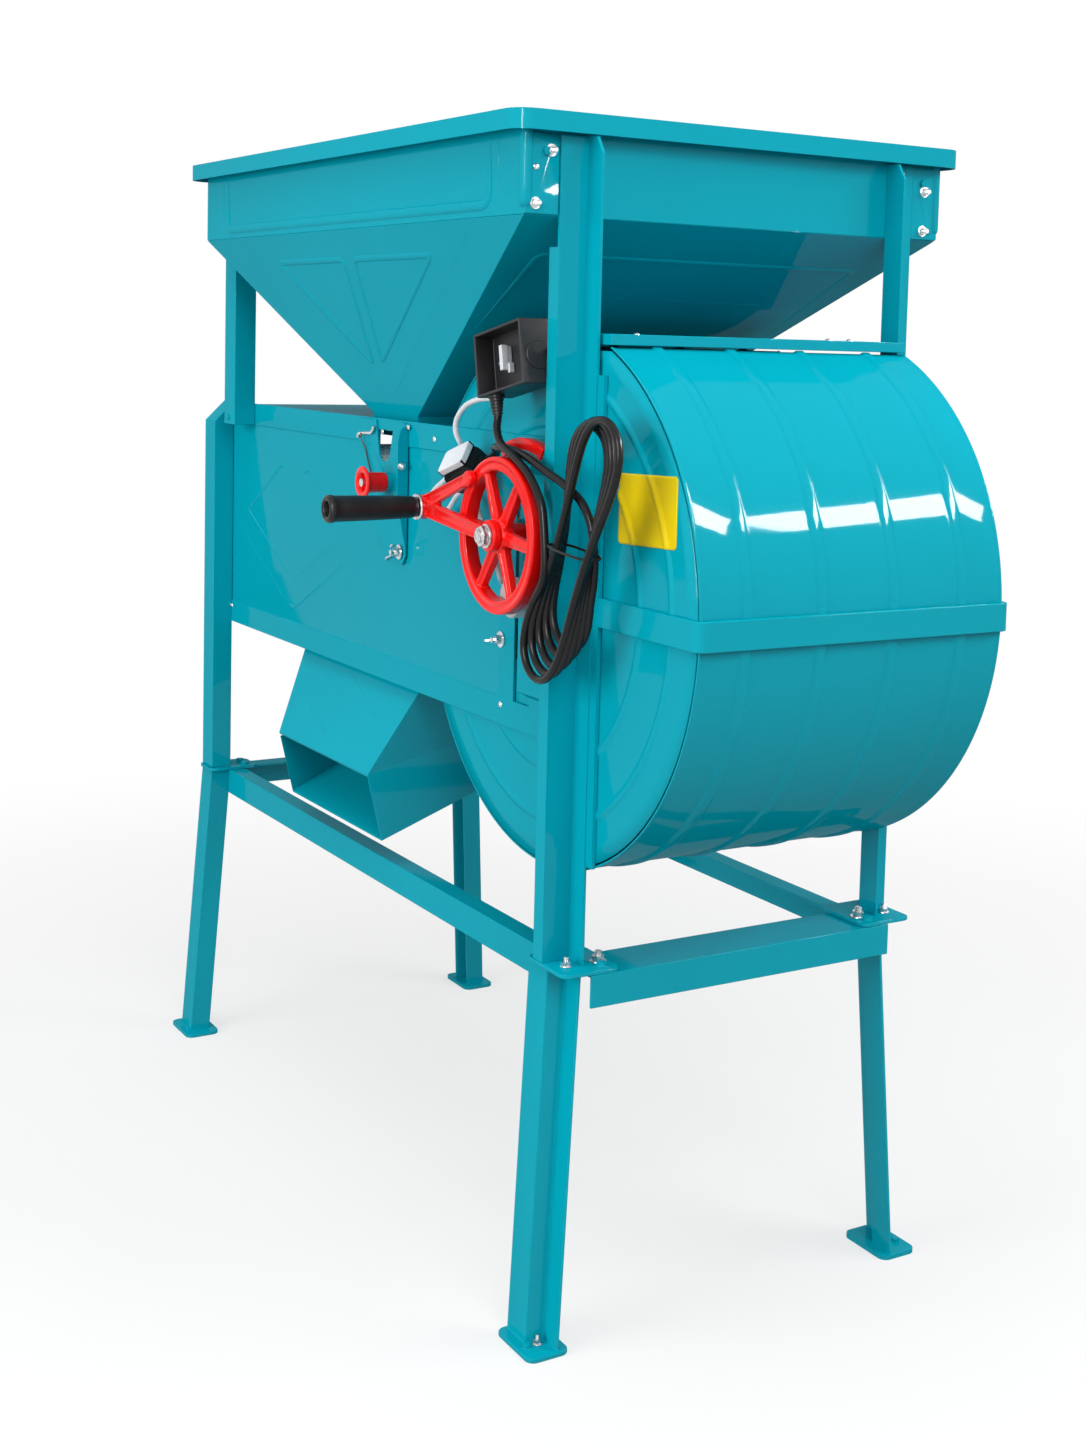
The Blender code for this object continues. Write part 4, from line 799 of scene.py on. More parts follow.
# %% Duct and chute figures
DUCT_FACE_Y = 0.1880
DIAMONDS = [[(-0.407, 0.834), (-0.303, 0.889)], [(-0.242, 0.888), (-0.184, 0.858)],
            [(-0.205, 0.896), (-0.081, 0.835)],
            [(-0.250, 0.697), (-0.417, 0.778), (-0.290, 0.852), (-0.275, 0.846)],
            [(-0.216, 0.842), (-0.200, 0.851), (-0.139, 0.819)], [(-0.247, 0.697), (-0.090, 0.771)],
            [(-0.430, 0.745), (-0.278, 0.669)], [(-0.262, 0.664), (-0.244, 0.660), (-0.082, 0.737)]]
for side, word in ((-1, "front"), (1, "back")):
    lines = [[at(x, side * DUCT_FACE_Y, z) for x, z in line] for line in DIAMONDS]
    beads(f"duct_figures_{word}", lines, (0, side, 0), 0.0048, 0.0011, corner=0.008)
CHUTE_NORMAL = Vector((0, -0.8625, 0.5061))
face = along_face((0, -0.232, 0.507), CHUTE_NORMAL)
CHUTE_LINES = [[(-0.163, 0.5680), (-0.080, 0.5985)], [(-0.074, 0.5990), (0.046, 0.5640)],
               [(-0.155, 0.5530), (-0.052, 0.5260)], [(-0.042, 0.5260), (0.040, 0.5530)]]
lines = [[face(x=x, z=z) for x, z in line] for line in CHUTE_LINES]
beads("chute_figures", lines, CHUTE_NORMAL, 0.0060, 0.0016)
print("duct lines:", len(DIAMONDS), "chute lines:", len(CHUTE_LINES))

# %% [markdown]
# ## Nuts, bolts and rivets
#
# The sheet is held by zinc-plated hexagon bolts with washers, and the frame's knees by larger
# ones. Each is turned in place: washer, six-sided head with a chamfer, and the end of the
# thread as a stack of small ridges. Fasteners of one kind share an object.

# %% Fastener helpers
PITCH = 0.0008


def add_bolt(bm, place, direction, size=0.0040, turn=0.4, thread=0.005):
    """Washer, hexagon nut and thread end on a surface."""
    where = aimed(place, direction, turn)
    thick = size * 0.28
    washer = [(0, 0), (2.0 * size, 0), (2.05 * size, thick * 0.5), (2.0 * size, thick), (0, thick)]
    lathe(bm, washer, where, 28)
    high = thick + size * 1.25
    lathe(bm, [(0, thick * 0.9), (1.62 * size, thick * 0.9), (1.62 * size, high - size * 0.16),
               (1.40 * size, high), (0, high)], where, 6)
    screw = [(0, high - PITCH / 2)]
    ridges = round(thread / PITCH)
    for k in range(ridges):
        screw += [(0.80 * size, high + PITCH * k - PITCH / 2), (0.94 * size, high + PITCH * k)]
    top = high + PITCH * ridges
    lathe(bm, screw + [(0.70 * size, top), (0, top)], where, 20)


def add_rivet(bm, place, direction, radius=0.0035):
    """Domed rivet or pan-head screw."""
    dome = [(0, 0)] + [(radius * math.cos(a), 0.55 * radius * math.sin(a)) for a in (0, 0.3, 0.6, 0.9, 1.2)]
    pit = [(0.30 * radius, 0.54 * radius), (0.26 * radius, 0.30 * radius), (0, 0.28 * radius)]
    lathe(bm, dome + pit, aimed(place, direction), 20)


def add_wing_nut(bm, place, direction, turn):
    """Washer, boss and two wings."""
    where = aimed(place, direction, turn)
    lathe(bm, [(0, 0), (0.0088, 0), (0.0090, 0.0007), (0.0088, 0.0014), (0, 0.0014)], where, 28)
    lathe(bm, [(0, 0.0012), (0.0052, 0.0012), (0.0048, 0.0050), (0.0036, 0.0078), (0.0030, 0.0080),
               (0.0030, 0.0118), (0.0022, 0.0124), (0, 0.0124)], where, 20)
    for sign in (-1, 1):
        outline = [(0.0030, 0.0022), (0.0080, 0.0050), (0.0118, 0.0094), (0.0128, 0.0130),
                   (0.0112, 0.0150), (0.0086, 0.0146), (0.0066, 0.0112), (0.0040, 0.0078)]
        sides = [[bm.verts.new(where @ Vector((sign * x, y, z))) for x, z in outline]
                 for y in (-0.0011, 0.0011)]
        bm.faces.new(sides[0])
        bm.faces.new(sides[1])
        for k in range(len(outline)):
            m = (k + 1) % len(outline)
            bm.faces.new((sides[0][k], sides[0][m], sides[1][m], sides[1][k]))


def hardware(name, items, add):
    """Gather zinc-plated fasteners of one kind in one piece."""
    bm = bmesh.new()
    for item in items:
        add(bm, *item)
    return from_bmesh(name, bm, "machine", ZINC)


# %% Frame bolts
UP, FRONT, BACK, RIGHT = (0, 0, 1), (0, -1, 0), (0, 1, 0), (1, 0, 0)
KNEE_TOP = 0.3976
knee_bolts = []
for side in (-1, 1):
    knee_bolts += [(at(0.533, side * 0.206, KNEE_TOP), UP, 0.0032),
                   (at(0.534, side * 0.169, KNEE_TOP), UP, 0.0043),
                   (at(-0.500, side * 0.206, KNEE_TOP), UP, 0.0032)]
hardware("knee_bolts", knee_bolts, add_bolt)
FOOT_X, FOOT_Y, FOOT_TOP = 0.074, 0.048, 0.0052
foot_bolts = []
for leg in ("leg_drum_front", "leg_drum_back", "leg_duct_front", "leg_duct_back"):
    low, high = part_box(leg)
    middle_x = low[0] + FOOT_X / 2 if leg.startswith("leg_duct") else high[0] - FOOT_X / 2
    out_y = low[1] + FOOT_Y / 2 if leg.endswith("front") else high[1] - FOOT_Y / 2
    foot_bolts.append((Vector((middle_x + 0.010, out_y, FOOT_TOP)), UP, 0.0030))
hardware("foot_bolts", foot_bolts, add_bolt)
BAND_END = 0.5122
band_bolts = []
for y, z in ((-0.233, 1.213), (-0.250, 1.161), (0.241, 1.203), (0.240, 1.160)):
    band_bolts.append((at(BAND_END, y, z), RIGHT, 0.0030))
hardware("band_bolts", band_bolts, add_bolt)
print("bolts:", len(knee_bolts) + len(foot_bolts) + len(band_bolts))

# %% Sheet screws and rivets
FACE_Y = 0.1897
screws = []
for side in (-1, 1):
    facing = (0, side, 0)
    screws += [(at(0.177, side * FACE_Y, 0.911), facing), (at(0.351, side * FACE_Y, 0.633), facing),
               (at(-0.452, side * FACE_Y, 0.912), facing), (at(-0.474, side * FACE_Y, 0.634), facing),
               (at(0.353, side * FACE_Y, 0.905), facing)]
screws += [(at(0.530, -0.1895, 1.004), FRONT), (at(BAND_END, 0.209, 1.221), RIGHT),
           (at(BAND_END, -0.250, 1.196), RIGHT), (at(0.112, -0.1922, 0.921), FRONT)]
screws += [(at(0.545, y, 1.0360), UP) for y in (-0.150, 0.090, 0.118)]
hardware("sheet_screws", screws, add_rivet)
hardware("flange_screw", [(at(0.1083, -0.1980, 0.875), RIGHT, 0.0026, 0.2, 0.003)], add_bolt)
wings = [(at(0.095, -0.1930, 0.772), FRONT, 0.9), (at(0.349, -FACE_Y, 0.704), FRONT, 0.2),
         (at(0.349, FACE_Y, 0.704), BACK, 0.2)]
hardware("wing_nuts", wings, add_wing_nut)
print("screws:", len(screws), "wing nuts:", len(wings))

# %% [markdown]
# ## The cast hand wheel and crank
#
# Wheel and arm are sand castings: thick, with generous fillets and a raised rib on each
# spoke. Fillets between many meeting shapes are tedious to model one by one, so rough solids
# are overlapped, fused by a voxel remesh and smoothed, which rounds every inner corner alike.

# %% Casting helper
def cast(name, bm, node, body, finish, voxel=0.0011, rounds=5):
    """Fuse overlapping solids into one casting with soft fillets."""
    bmesh.ops.recalc_face_normals(bm, faces=bm.faces)
    piece = bpy.data.objects.new(name, mesh_of(name, bm))
    bpy.context.scene.collection.objects.link(piece)
    remesh = piece.modifiers.new("fuse", "REMESH")
    remesh.mode = "VOXEL"
    remesh.voxel_size = voxel
    smooth = piece.modifiers.new("fillets", "SMOOTH")
    smooth.iterations = rounds
    graph = bpy.context.evaluated_depsgraph_get()
    fused = bpy.data.meshes.new_from_object(piece.evaluated_get(graph))
    piece.modifiers.clear()
    piece.data = fused
    fused.polygons.foreach_set("use_smooth", [True] * len(fused.polygons))
    own(piece, body, finish, smooth=False)
    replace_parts(piece, node)
    print(name, "fused with", len(fused.polygons), "faces")


def add_block(bm, outline, depth_low, depth_high, where):
    """Closed prism from an outline in local x and y."""
    low = [bm.verts.new(where @ Vector((x, y, depth_low))) for x, y in outline]
    high = [bm.verts.new(where @ Vector((x, y, depth_high))) for x, y in outline]
    bm.faces.new(low)
    bm.faces.new(high)
    for k in range(len(outline)):
        m = (k + 1) % len(outline)
        bm.faces.new((low[k], low[m], high[m], high[k]))


# %% Hand wheel
HUB_X, HUB_Z = 0.445, 0.828
WHEEL_BACK = 0.236
SPOKES = 6
ARM_ANGLE = math.radians(174)
TOWARDS_USER = Matrix.Rotation(math.pi / 2, 4, "X")
FORWARD = Matrix.Translation(at(HUB_X, 0, HUB_Z)) @ TOWARDS_USER
bm = bmesh.new()
rim = [(0.0665, 0.2368), (0.0672, WHEEL_BACK), (0.0800, WHEEL_BACK), (0.0808, 0.2368), (0.0808, 0.2508),
       (0.0797, 0.2518), (0.0762, 0.2518), (0.0752, 0.2508), (0.0712, 0.2504), (0.0704, 0.2516),
       (0.0678, 0.2516), (0.0666, 0.2508)]
lathe(bm, rim, FORWARD, 128, closed=True)
boss = [(0.0072, 0.2190), (0.0125, 0.2190), (0.0130, 0.2360), (0.0182, 0.2368), (0.0180, 0.2500),
        (0.0172, 0.2517), (0.0072, 0.2517)]
lathe(bm, boss, FORWARD, 64, closed=True)
spoke = [(0.010, -0.0078), (0.010, 0.0078), (0.070, 0.0056), (0.070, -0.0056)]
spoke_rib = [(0.010, -0.0020), (0.010, 0.0020), (0.0695, 0.0016), (0.0695, -0.0016)]
for i in range(SPOKES):
    spoke_turn = FORWARD @ Matrix.Rotation(ARM_ANGLE + 2 * math.pi * i / SPOKES, 4, "Z")
    add_block(bm, spoke, 0.2395, 0.2480, spoke_turn)
    add_block(bm, spoke_rib, 0.2470, 0.2508, spoke_turn)
cast("cast_wheel", bm, "hand_wheel", "crank", RED)

# %% Crank arm
CRANK_R = 0.157
ARM_BACK = 0.2523
ARM_FRONT = 0.2603
FORK_ANGLE = ARM_ANGLE - math.radians(42)
grip_x, grip_y = CRANK_R * math.cos(ARM_ANGLE), CRANK_R * math.sin(ARM_ANGLE)
FORK_R = 0.0738
fork_x, fork_y = FORK_R * math.cos(FORK_ANGLE), FORK_R * math.sin(FORK_ANGLE)
bm = bmesh.new()
lathe(bm, [(0.0074, ARM_BACK), (0.0165, ARM_BACK), (0.0165, 0.2595), (0.0155, ARM_FRONT),
           (0.0074, ARM_FRONT)], FORWARD, 64, closed=True)
boss = FORWARD @ Matrix.Translation((grip_x, grip_y, 0))
lathe(bm, [(0.0044, ARM_BACK), (0.0132, ARM_BACK), (0.0135, 0.2560), (0.0128, 0.2617), (0.0044, 0.2617)],
      boss, 48, closed=True)
lathe(bm, [(0, ARM_BACK), (0.0086, ARM_BACK), (0.0084, 0.2585), (0.0072, 0.2600), (0, 0.2600)],
      FORWARD @ Matrix.Translation((fork_x, fork_y, 0)), 32)


def add_arm_bar(start, end, wide_start, wide_end, rib):
    """Tapering bar of the arm with a raised rib along both edges."""
    start, end = Vector(start), Vector(end)
    along = (end - start).normalized()
    across = Vector((-along.y, along.x))
    plate = [start + across * wide_start, start - across * wide_start, end - across * wide_end,
             end + across * wide_end]
    add_block(bm, [tuple(p) for p in plate], ARM_BACK + 0.0004, 0.2578, FORWARD)
    for sign in (-1, 1):
        edge = [start + across * sign * wide_start, end + across * sign * wide_end,
                end + across * sign * (wide_end - rib), start + across * sign * (wide_start - rib)]
        add_block(bm, [tuple(p) for p in edge], ARM_BACK + 0.0004, ARM_FRONT, FORWARD)


add_arm_bar((grip_x, grip_y), (-0.010, 0.001), 0.0092, 0.0078, 0.0028)
add_arm_bar((grip_x + 0.004, grip_y + 0.004), (fork_x, fork_y), 0.0080, 0.0060, 0.0024)
web = [(grip_x + 0.010, grip_y + 0.004), (grip_x + 0.036, grip_y + 0.013), (grip_x + 0.040, grip_y)]
add_block(bm, web, ARM_BACK + 0.0012, 0.2562, FORWARD)
cast("cast_arm", bm, "crank_arm", "crank", RED, voxel=0.0009, rounds=4)

# %% Nut, washer and shaft end
nut = bmesh.new()
for wide, low, middle_height, high in ((0.0124, 0.2606, 0.2613, 0.2622), (0.0104, 0.2622, 0.2632, 0.2642)):
    lathe(nut, [(0.0072, low), (wide, low), (wide + 0.0002, middle_height), (wide, high), (0.0072, high)],
          FORWARD, 40, closed=True)
lathe(nut, [(0.0072, 0.2642), (0.0110, 0.2642), (0.0112, 0.2650), (0.0112, 0.2682), (0.0098, 0.2692),
            (0.0072, 0.2692)], FORWARD @ Matrix.Rotation(0.3, 4, "Z"), 6, closed=True)
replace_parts(from_bmesh("crank_nut_and_washers", nut, "crank", ZINC), "crank_nut")
threads = [(0, 0.2600)]
for k in range(12):
    threads += [(0.0064, 0.2608 + PITCH * k), (0.0070, 0.2612 + PITCH * k)]
turned_piece("crank_thread", threads + [(0.0060, 0.2709), (0, 0.2709)], FORWARD, "crank", ZINC)

# %% [markdown]
# ## The turning grip
#
# The grip is a moulded rubber tube that turns on a pin. It swells to a bead at its free end,
# where the hollow shows, and it narrows towards a zinc collar at the arm.

# %% Grip, collar and pin end
GRIP = FORWARD @ Matrix.Translation((grip_x, grip_y, 0))
INNER = 0.2664
GRIP_LENGTH = 0.1036
OUTER = INNER + GRIP_LENGTH
line = [(0.0050, INNER), (0.0104, INNER), (0.0113, INNER + 0.0016), (0.0119, INNER + 0.006)]
for i in range(9):
    share = i / 8
    line.append((0.0122 + 0.0018 * share ** 0.7, INNER + 0.012 + 0.076 * share))
line += [(radius, OUTER - before_end) for radius, before_end in
         ((0.0139, 0.0110), (0.0143, 0.0085), (0.0149, 0.0068), (0.0151, 0.0050), (0.0148, 0.0028),
          (0.0139, 0.0010), (0.0124, 0.0002), (0.0108, 0.0), (0.0092, 0.0006), (0.0083, 0.0018),
          (0.0080, 0.0120), (0.0050, 0.0124))]
sleeve = turned_piece("rubber_sleeve", line, GRIP, "turning_grip", GRIP_BLACK, 64, closed=True)
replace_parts(sleeve, "grip")
pin = bmesh.new()
collar = [(0.0130, 0.2621), (0.0140, 0.2626), (0.0145, 0.2636), (0.0145, 0.2646), (0.0138, 0.2657),
          (0.0118, 0.2660)]
lathe(pin, [(0.0, 0.2525), (0.0039, 0.2525), (0.0039, 0.2618), *collar, (0.0044, 0.2660),
            (0.0044, OUTER - 0.0100), (0.0030, OUTER - 0.0088), (0, OUTER - 0.0086)], GRIP, 40)
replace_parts(from_bmesh("grip_collar_and_pin", pin, "crank", ZINC), "grip_pin")
print("grip runs", round(OUTER - INNER, 3), "m out from its collar")

# %% [markdown]
# ## Feed gate
#
# A red knob behind the crank turns the shaft of the feed flap. It is a moulded cup with a
# wide flange. A hooked rod lies across the notch, and a thin wire hangs from it.

# %% Gate knob, hook and wire
GATE = Matrix.Translation(at(0.062, 0, 0.853)) @ TOWARDS_USER
line = [(0.0054, 0.1990), (0.0112, 0.1990), (0.0118, 0.1996), (0.0120, 0.2080), (0.0124, 0.2180),
        (0.0132, 0.2215), (0.0165, 0.2240), (0.0190, 0.2258), (0.0194, 0.2272), (0.0188, 0.2284),
        (0.0160, 0.2290), (0.0128, 0.2286), (0.0112, 0.2270), (0.0105, 0.2215), (0.0054, 0.2205)]
knob = turned_piece("gate_knob_cup", line, GATE, "feed_gate", RED, 64, closed=True)
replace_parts(knob, "regulator_knob")


def wire(name, points, radius, body, finish, replaced=None, sides=3):
    """Round wire along a smooth open line."""
    data = bpy.data.curves.new(name, "CURVE")
    data.dimensions = "3D"
    data.bevel_depth = 1.0
    data.bevel_resolution = sides
    data.use_fill_caps = True
    spline = data.splines.new("POLY")
    spline.points.add(len(points) - 1)
    for spot, point in zip(spline.points, points):
        spot.co = (*point, 1.0)
        spot.radius = radius
    piece = own(bpy.data.objects.new(name, data), body, finish)
    spline.use_smooth = True
    if replaced:
        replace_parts(piece, *replaced)
    return piece


FINE = 24


def smooth_line(route, spacing):
    """Even points on a smooth curve through a route's own points."""
    route = [Vector(p) for p in route]
    padded = [2 * route[0] - route[1]] + route + [2 * route[-1] - route[-2]]
    fine = []
    for a, b, c, d in zip(padded, padded[1:], padded[2:], padded[3:]):
        for k in range(FINE):
            t = k / FINE
            fine.append(0.5 * (2 * b + (c - a) * t + (2 * a - 5 * b + 4 * c - d) * t * t
                               + (3 * b - a - 3 * c + d) * t ** 3))
    fine.append(route[-1])
    total = sum((b - a).length for a, b in zip(fine, fine[1:]))
    wanted = total / max(1, round(total / spacing))
    points, carried = [fine[0]], 0.0
    for a, b in zip(fine, fine[1:]):
        length = (b - a).length
        while carried + length >= wanted and length > 0:
            share = (wanted - carried) / length
            a = a.lerp(b, share)
            points.append(a.copy())
            length = (b - a).length
            carried = 0.0
        carried += length
    if (points[-1] - fine[-1]).length < wanted / 2:
        points[-1] = fine[-1]
    else:
        points.append(fine[-1])
    return points


def drawn(*places):
    """Several places at once."""
    return [at(*place) for place in places]


ROD_Y = -0.1942
rod = smooth_line(drawn((-0.028, ROD_Y, 0.9020), (-0.0265, ROD_Y, 0.9055), (-0.022, ROD_Y, 0.9070),
                        (0.000, ROD_Y, 0.9085), (0.010, ROD_Y, 0.9095), (0.018, ROD_Y - 0.001, 0.9130),
                        (0.0215, ROD_Y - 0.001, 0.9180)), 0.002)
wire("hook_rod", rod, 0.0021, "machine", ZINC, ["gate_hook"])
hardware("hook_screw", [(at(0.040, -0.1922, 0.912), FRONT)], add_rivet)
thin = smooth_line(drawn((-0.014, ROD_Y - 0.0022, 0.9078), (-0.0125, ROD_Y - 0.003, 0.9020),
                         (-0.006, ROD_Y, 0.8900), (0.004, ROD_Y, 0.8740), (0.016, ROD_Y, 0.8560)), 0.003)
wire("hook_wire", thin, 0.0009, "machine", GEAR_BLACK)
print("hook rod:", len(rod), "points, its wire:", len(thin))

# %% [markdown]
# ## The mains cord
#
# The cord leaves the switch box downwards, swings over to the post and is folded there into
# a tied hank, whose tail runs back to the plug. Its loops are worked out by a rule, one turn
# after another: a loop is long, pinched at the tie, and each turn leans a little further and
# lies one layer deeper. The lead and the tail keep their own listed points.

# %% Cord route
CORD_D = 0.0084
HANK_MID = (0.5890, 0.8235)
LAYER_FRONT = -0.2456
LAYER_BACK = -0.2272
FIRST_TURN = 0.30
LAST_TURN = 4.66


def hank_point(turn):
    """Point of the hank after a number of turns, from the long front loop to the short back one."""
    share = (turn - FIRST_TURN) / (LAST_TURN - FIRST_TURN)
    angle = 2 * math.pi * turn
    lean = math.radians(30.5 - 21 * share)
    up = (0.1480 - 0.0400 * share) * math.cos(angle)
    across = -0.0560 * math.sin(angle) * (0.50 + 0.70 * math.cos(angle) ** 2)
    x = HANK_MID[0] - 0.0140 * share + up * math.sin(lean) + across * math.cos(lean)
    z = HANK_MID[1] + 0.0145 * share + up * math.cos(lean) - across * math.sin(lean)
    return at(x, LAYER_FRONT + (LAYER_BACK - LAYER_FRONT) * share, z)


BOX_TURN = Matrix.Translation(at(0.4385, 0, 1.008)) @ Matrix.Rotation(math.radians(-11), 4, "Y")
CORD_X, CORD_Y = -0.030, -0.237
CORD_EXIT = BOX_TURN @ Vector((CORD_X, CORD_Y, -0.0449))
lead = [CORD_EXIT, BOX_TURN @ Vector((CORD_X, CORD_Y, -0.0560))]
lead += drawn((0.4224, -0.2395, 0.9389), (0.4274, -0.2410, 0.9310), (0.4344, -0.2425, 0.9246),
              (0.4421, -0.2435, 0.9205), (0.4600, -0.2445, 0.9140), (0.4800, -0.2450, 0.9065),
              (0.5020, -0.2452, 0.8950), (0.5220, -0.2455, 0.8780), (0.5350, -0.2456, 0.8560))
STEPS = 24 * round(LAST_TURN - FIRST_TURN)
turns = [hank_point(FIRST_TURN + (LAST_TURN - FIRST_TURN) * i / STEPS) for i in range(STEPS + 1)]
tail = drawn((0.6035, -0.2272, 0.8020), (0.6030, -0.2275, 0.8290), (0.5965, -0.2285, 0.8550),
             (0.5790, -0.2305, 0.8755), (0.5500, -0.2330, 0.8890), (0.5180, -0.2352, 0.8995),
             (0.4930, -0.2360, 0.9075), (0.4680, -0.2360, 0.9135), (0.4400, -0.2355, 0.9165),
             (0.4150, -0.2345, 0.9165), (0.3980, -0.2280, 0.9150), (0.3845, -0.2190, 0.9133),
             (0.3710, -0.2110, 0.9098), (0.3580, -0.2070, 0.9045), (0.3440, -0.2088, 0.8981))
cord_line = smooth_line(lead + turns + tail, 0.005)
CORD_LENGTH = sum((b - a).length for a, b in zip(cord_line, cord_line[1:]))
cord = wire("mains_cord", cord_line, CORD_D / 2, "machine", CORD_BLACK,
            ["power_cord", "cord_hank", "plug_cord"], 4)
print("cord of", round(CORD_LENGTH, 3), "m in", len(cord_line), "points")

# %% [markdown]
# The plug is a moulded block with rounded edges, a white plate over its pins and a ribbed neck.
# A thin tie holds the hank. The relief at the box is a soft taper that the cord runs through.

# %% Plug, tie and strain relief
def rounded_box(x0, x1, y0, y1, radius):
    """Outline of a rectangle with round corners."""
    corners = [(x0, y0, 0), (x1, y0, 0), (x1, y1, 0), (x0, y1, 0)]
    return [(p.x, p.y) for p in rounded_line(corners, radius, closed=True)]


plug = rolled("plug", CORD_BLACK, 0.0030, segments=4)
plug.name = "plug_body"
PLUG_LEVEL = Matrix.Translation(at(0.318, -0.2245, 0.886)) @ Matrix.Rotation(math.radians(-24), 4, "Y")
BEHIND_ARM = Vector((0, 0.0060, 0))     # keeps the plug clear of the turning arm
PLUG_AIM = Vector((0.86, 0.32, 0.40)).normalized()
PLUG_FACE = Vector((-0.028, -0.754, 0.656))
PLUG_FACE = (PLUG_FACE - PLUG_AIM * PLUG_FACE.dot(PLUG_AIM)).normalized()
PLUG_SIDE = PLUG_FACE.cross(PLUG_AIM)
PLUG = Matrix((PLUG_AIM, PLUG_SIDE, PLUG_FACE)).transposed().to_4x4()
PLUG.translation = PLUG_LEVEL.translation + BEHIND_ARM
plug.data.transform(PLUG @ PLUG_LEVEL.inverted())
bm = bmesh.new()
add_block(bm, rounded_box(-0.0185, 0.0185, -0.0168, 0.0165, 0.005), 0.0155, 0.0232, PLUG)
cap = from_bmesh("plug_plate", bm, "machine", WHITE)
roll_edges(cap, 0.0012)
neck_turn = PLUG @ Matrix.Rotation(math.pi / 2, 4, "Y")
RIBS = 5
neck = [(0, 0.012), (0.0088, 0.012)]
for i in range(RIBS):
    base = 0.0150 + 0.0030 * i
    wide = 0.0082 - 0.0006 * i
    neck += [(wide, base), (wide, base + 0.0018), (wide - 0.0012, base + 0.0020),
             (wide - 0.0012, base + 0.0028)]
neck += [(0.0046, 0.0302), (0, 0.0302)]
neck_piece = turned_piece("plug_neck", neck, neck_turn, "machine", CORD_BLACK, 32)
relief = [(0, 0.0), (0.0088, 0.0), (0.0088, 0.0030), (0.0074, 0.0040)]
for i in range(RIBS):
    base = 0.0046 + 0.0034 * i
    wide = 0.0074 - 0.0005 * i
    relief += [(wide, base), (wide, base + 0.0018), (wide - 0.0011, base + 0.0022),
               (wide - 0.0011, base + 0.0030)]
relief += [(0.0046, 0.0224), (0, 0.0224)]
relief_turn = BOX_TURN @ Matrix.Translation((CORD_X, CORD_Y, -0.0326)) @ Matrix.Rotation(math.pi, 4, "X")
relief_piece = turned_piece("strain_relief", relief, relief_turn, "machine", BLACK, 32)
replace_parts(relief_piece, "cord_gland")
TIE_MID = (HANK_MID[0] - 0.008, -0.2368, HANK_MID[1] + 0.002)
TIE_HALF = (0.0375, 0.0142)
TIE_SQUARENESS = 0.6
loop = []
for i in range(41):
    angle = 2 * math.pi * i / 40
    reach = [half * math.copysign(abs(share) ** TIE_SQUARENESS, share)
             for half, share in zip(TIE_HALF, (math.cos(angle), math.sin(angle)))]
    loop.append(at(TIE_MID[0] + reach[0], TIE_MID[1] + reach[1], TIE_MID[2] - 0.10 * reach[0]))
wire("hank_tie", loop, 0.0013, "machine", CORD_BLACK)

# %% [markdown]
# A white lead joins the switch box to the motor. It is held at both ends, so it is a fixed part
# of the machine: one smooth curve through a few chosen places.

# %% Motor lead
lead_points = drawn((0.3920, -0.2290, 0.9660), (0.3760, -0.2310, 0.9650), (0.3580, -0.2330, 0.9620),
                    (0.3390, -0.2330, 0.9560), (0.3230, -0.2320, 0.9470), (0.3130, -0.2310, 0.9370),
                    (0.3080, -0.2280, 0.9250), (0.3040, -0.2200, 0.9130), (0.2900, -0.2080, 0.8980),
                    (0.2640, -0.2040, 0.8830), (0.2300, -0.2020, 0.8680), (0.2020, -0.2010, 0.8540),
                    (0.1900, -0.2008, 0.8400), (0.1980, -0.2008, 0.8270), (0.2190, -0.2010, 0.8250),
                    (0.2410, -0.2012, 0.8370), (0.2620, -0.2014, 0.8540), (0.2830, -0.2016, 0.8610),
                    (0.3030, -0.2020, 0.8530), (0.3230, -0.2040, 0.8340), (0.3500, -0.2080, 0.8090),
                    (0.3800, -0.2130, 0.7880), (0.4000, -0.2190, 0.7770), (0.4197, -0.2200, 0.7670))
white_lead = smooth_line(lead_points, 0.004)
wire("white_lead", white_lead, 0.0030, "machine", WHITE, ["motor_lead"], 4)
print("white lead of", round(sum((b - a).length for a, b in zip(white_lead, white_lead[1:])), 3), "m")

# %% [markdown]
# ## Label plate
#
# The drum's side carries a plain yellow plate. It is thin enough to follow the round bead
# under it, so a fine grid is laid at the height of the sheet below each of its points.

# %% Plain label
bm = bmesh.new()
LABEL_SIZE = (0.1040, 0.0690)
LABEL_MIDDLE = (0.6310, 0.8685)
LABEL_CORNER = 0.005
LABEL_TILT = 0.035
LABEL_GAP = 0.0002
across, upright = 44, 30
grid = []
for i in range(across + 1):
    row = []
    for k in range(upright + 1):
        u = (i / across - 0.5) * LABEL_SIZE[0]
        v = (k / upright - 0.5) * LABEL_SIZE[1]
        over_u = max(0.0, abs(u) - LABEL_SIZE[0] / 2 + LABEL_CORNER)
        over_v = max(0.0, abs(v) - LABEL_SIZE[1] / 2 + LABEL_CORNER)
        reach = math.hypot(over_u, over_v)
        if over_u > 0 and over_v > 0 and reach > LABEL_CORNER:
            u -= math.copysign(over_u * (1 - LABEL_CORNER / reach), u)
            v -= math.copysign(over_v * (1 - LABEL_CORNER / reach), v)
        x, z = LABEL_MIDDLE[0] + u, LABEL_MIDDLE[1] + v + LABEL_TILT * u
        height = side_rise(math.hypot(x - FAN[0], z - FAN[1]))
        row.append(bm.verts.new(at(x, -SIDE_Y - SHEET - height - LABEL_GAP, z)))
    grid.append(row)
skin(bm, grid)
label = from_bmesh("plain_label", bm, "machine", LABEL)
if label.data.polygons[0].normal.y > 0:
    label.data.flip_normals()
thicken(label, 0.0005, 1.0)
print("label", LABEL_SIZE)

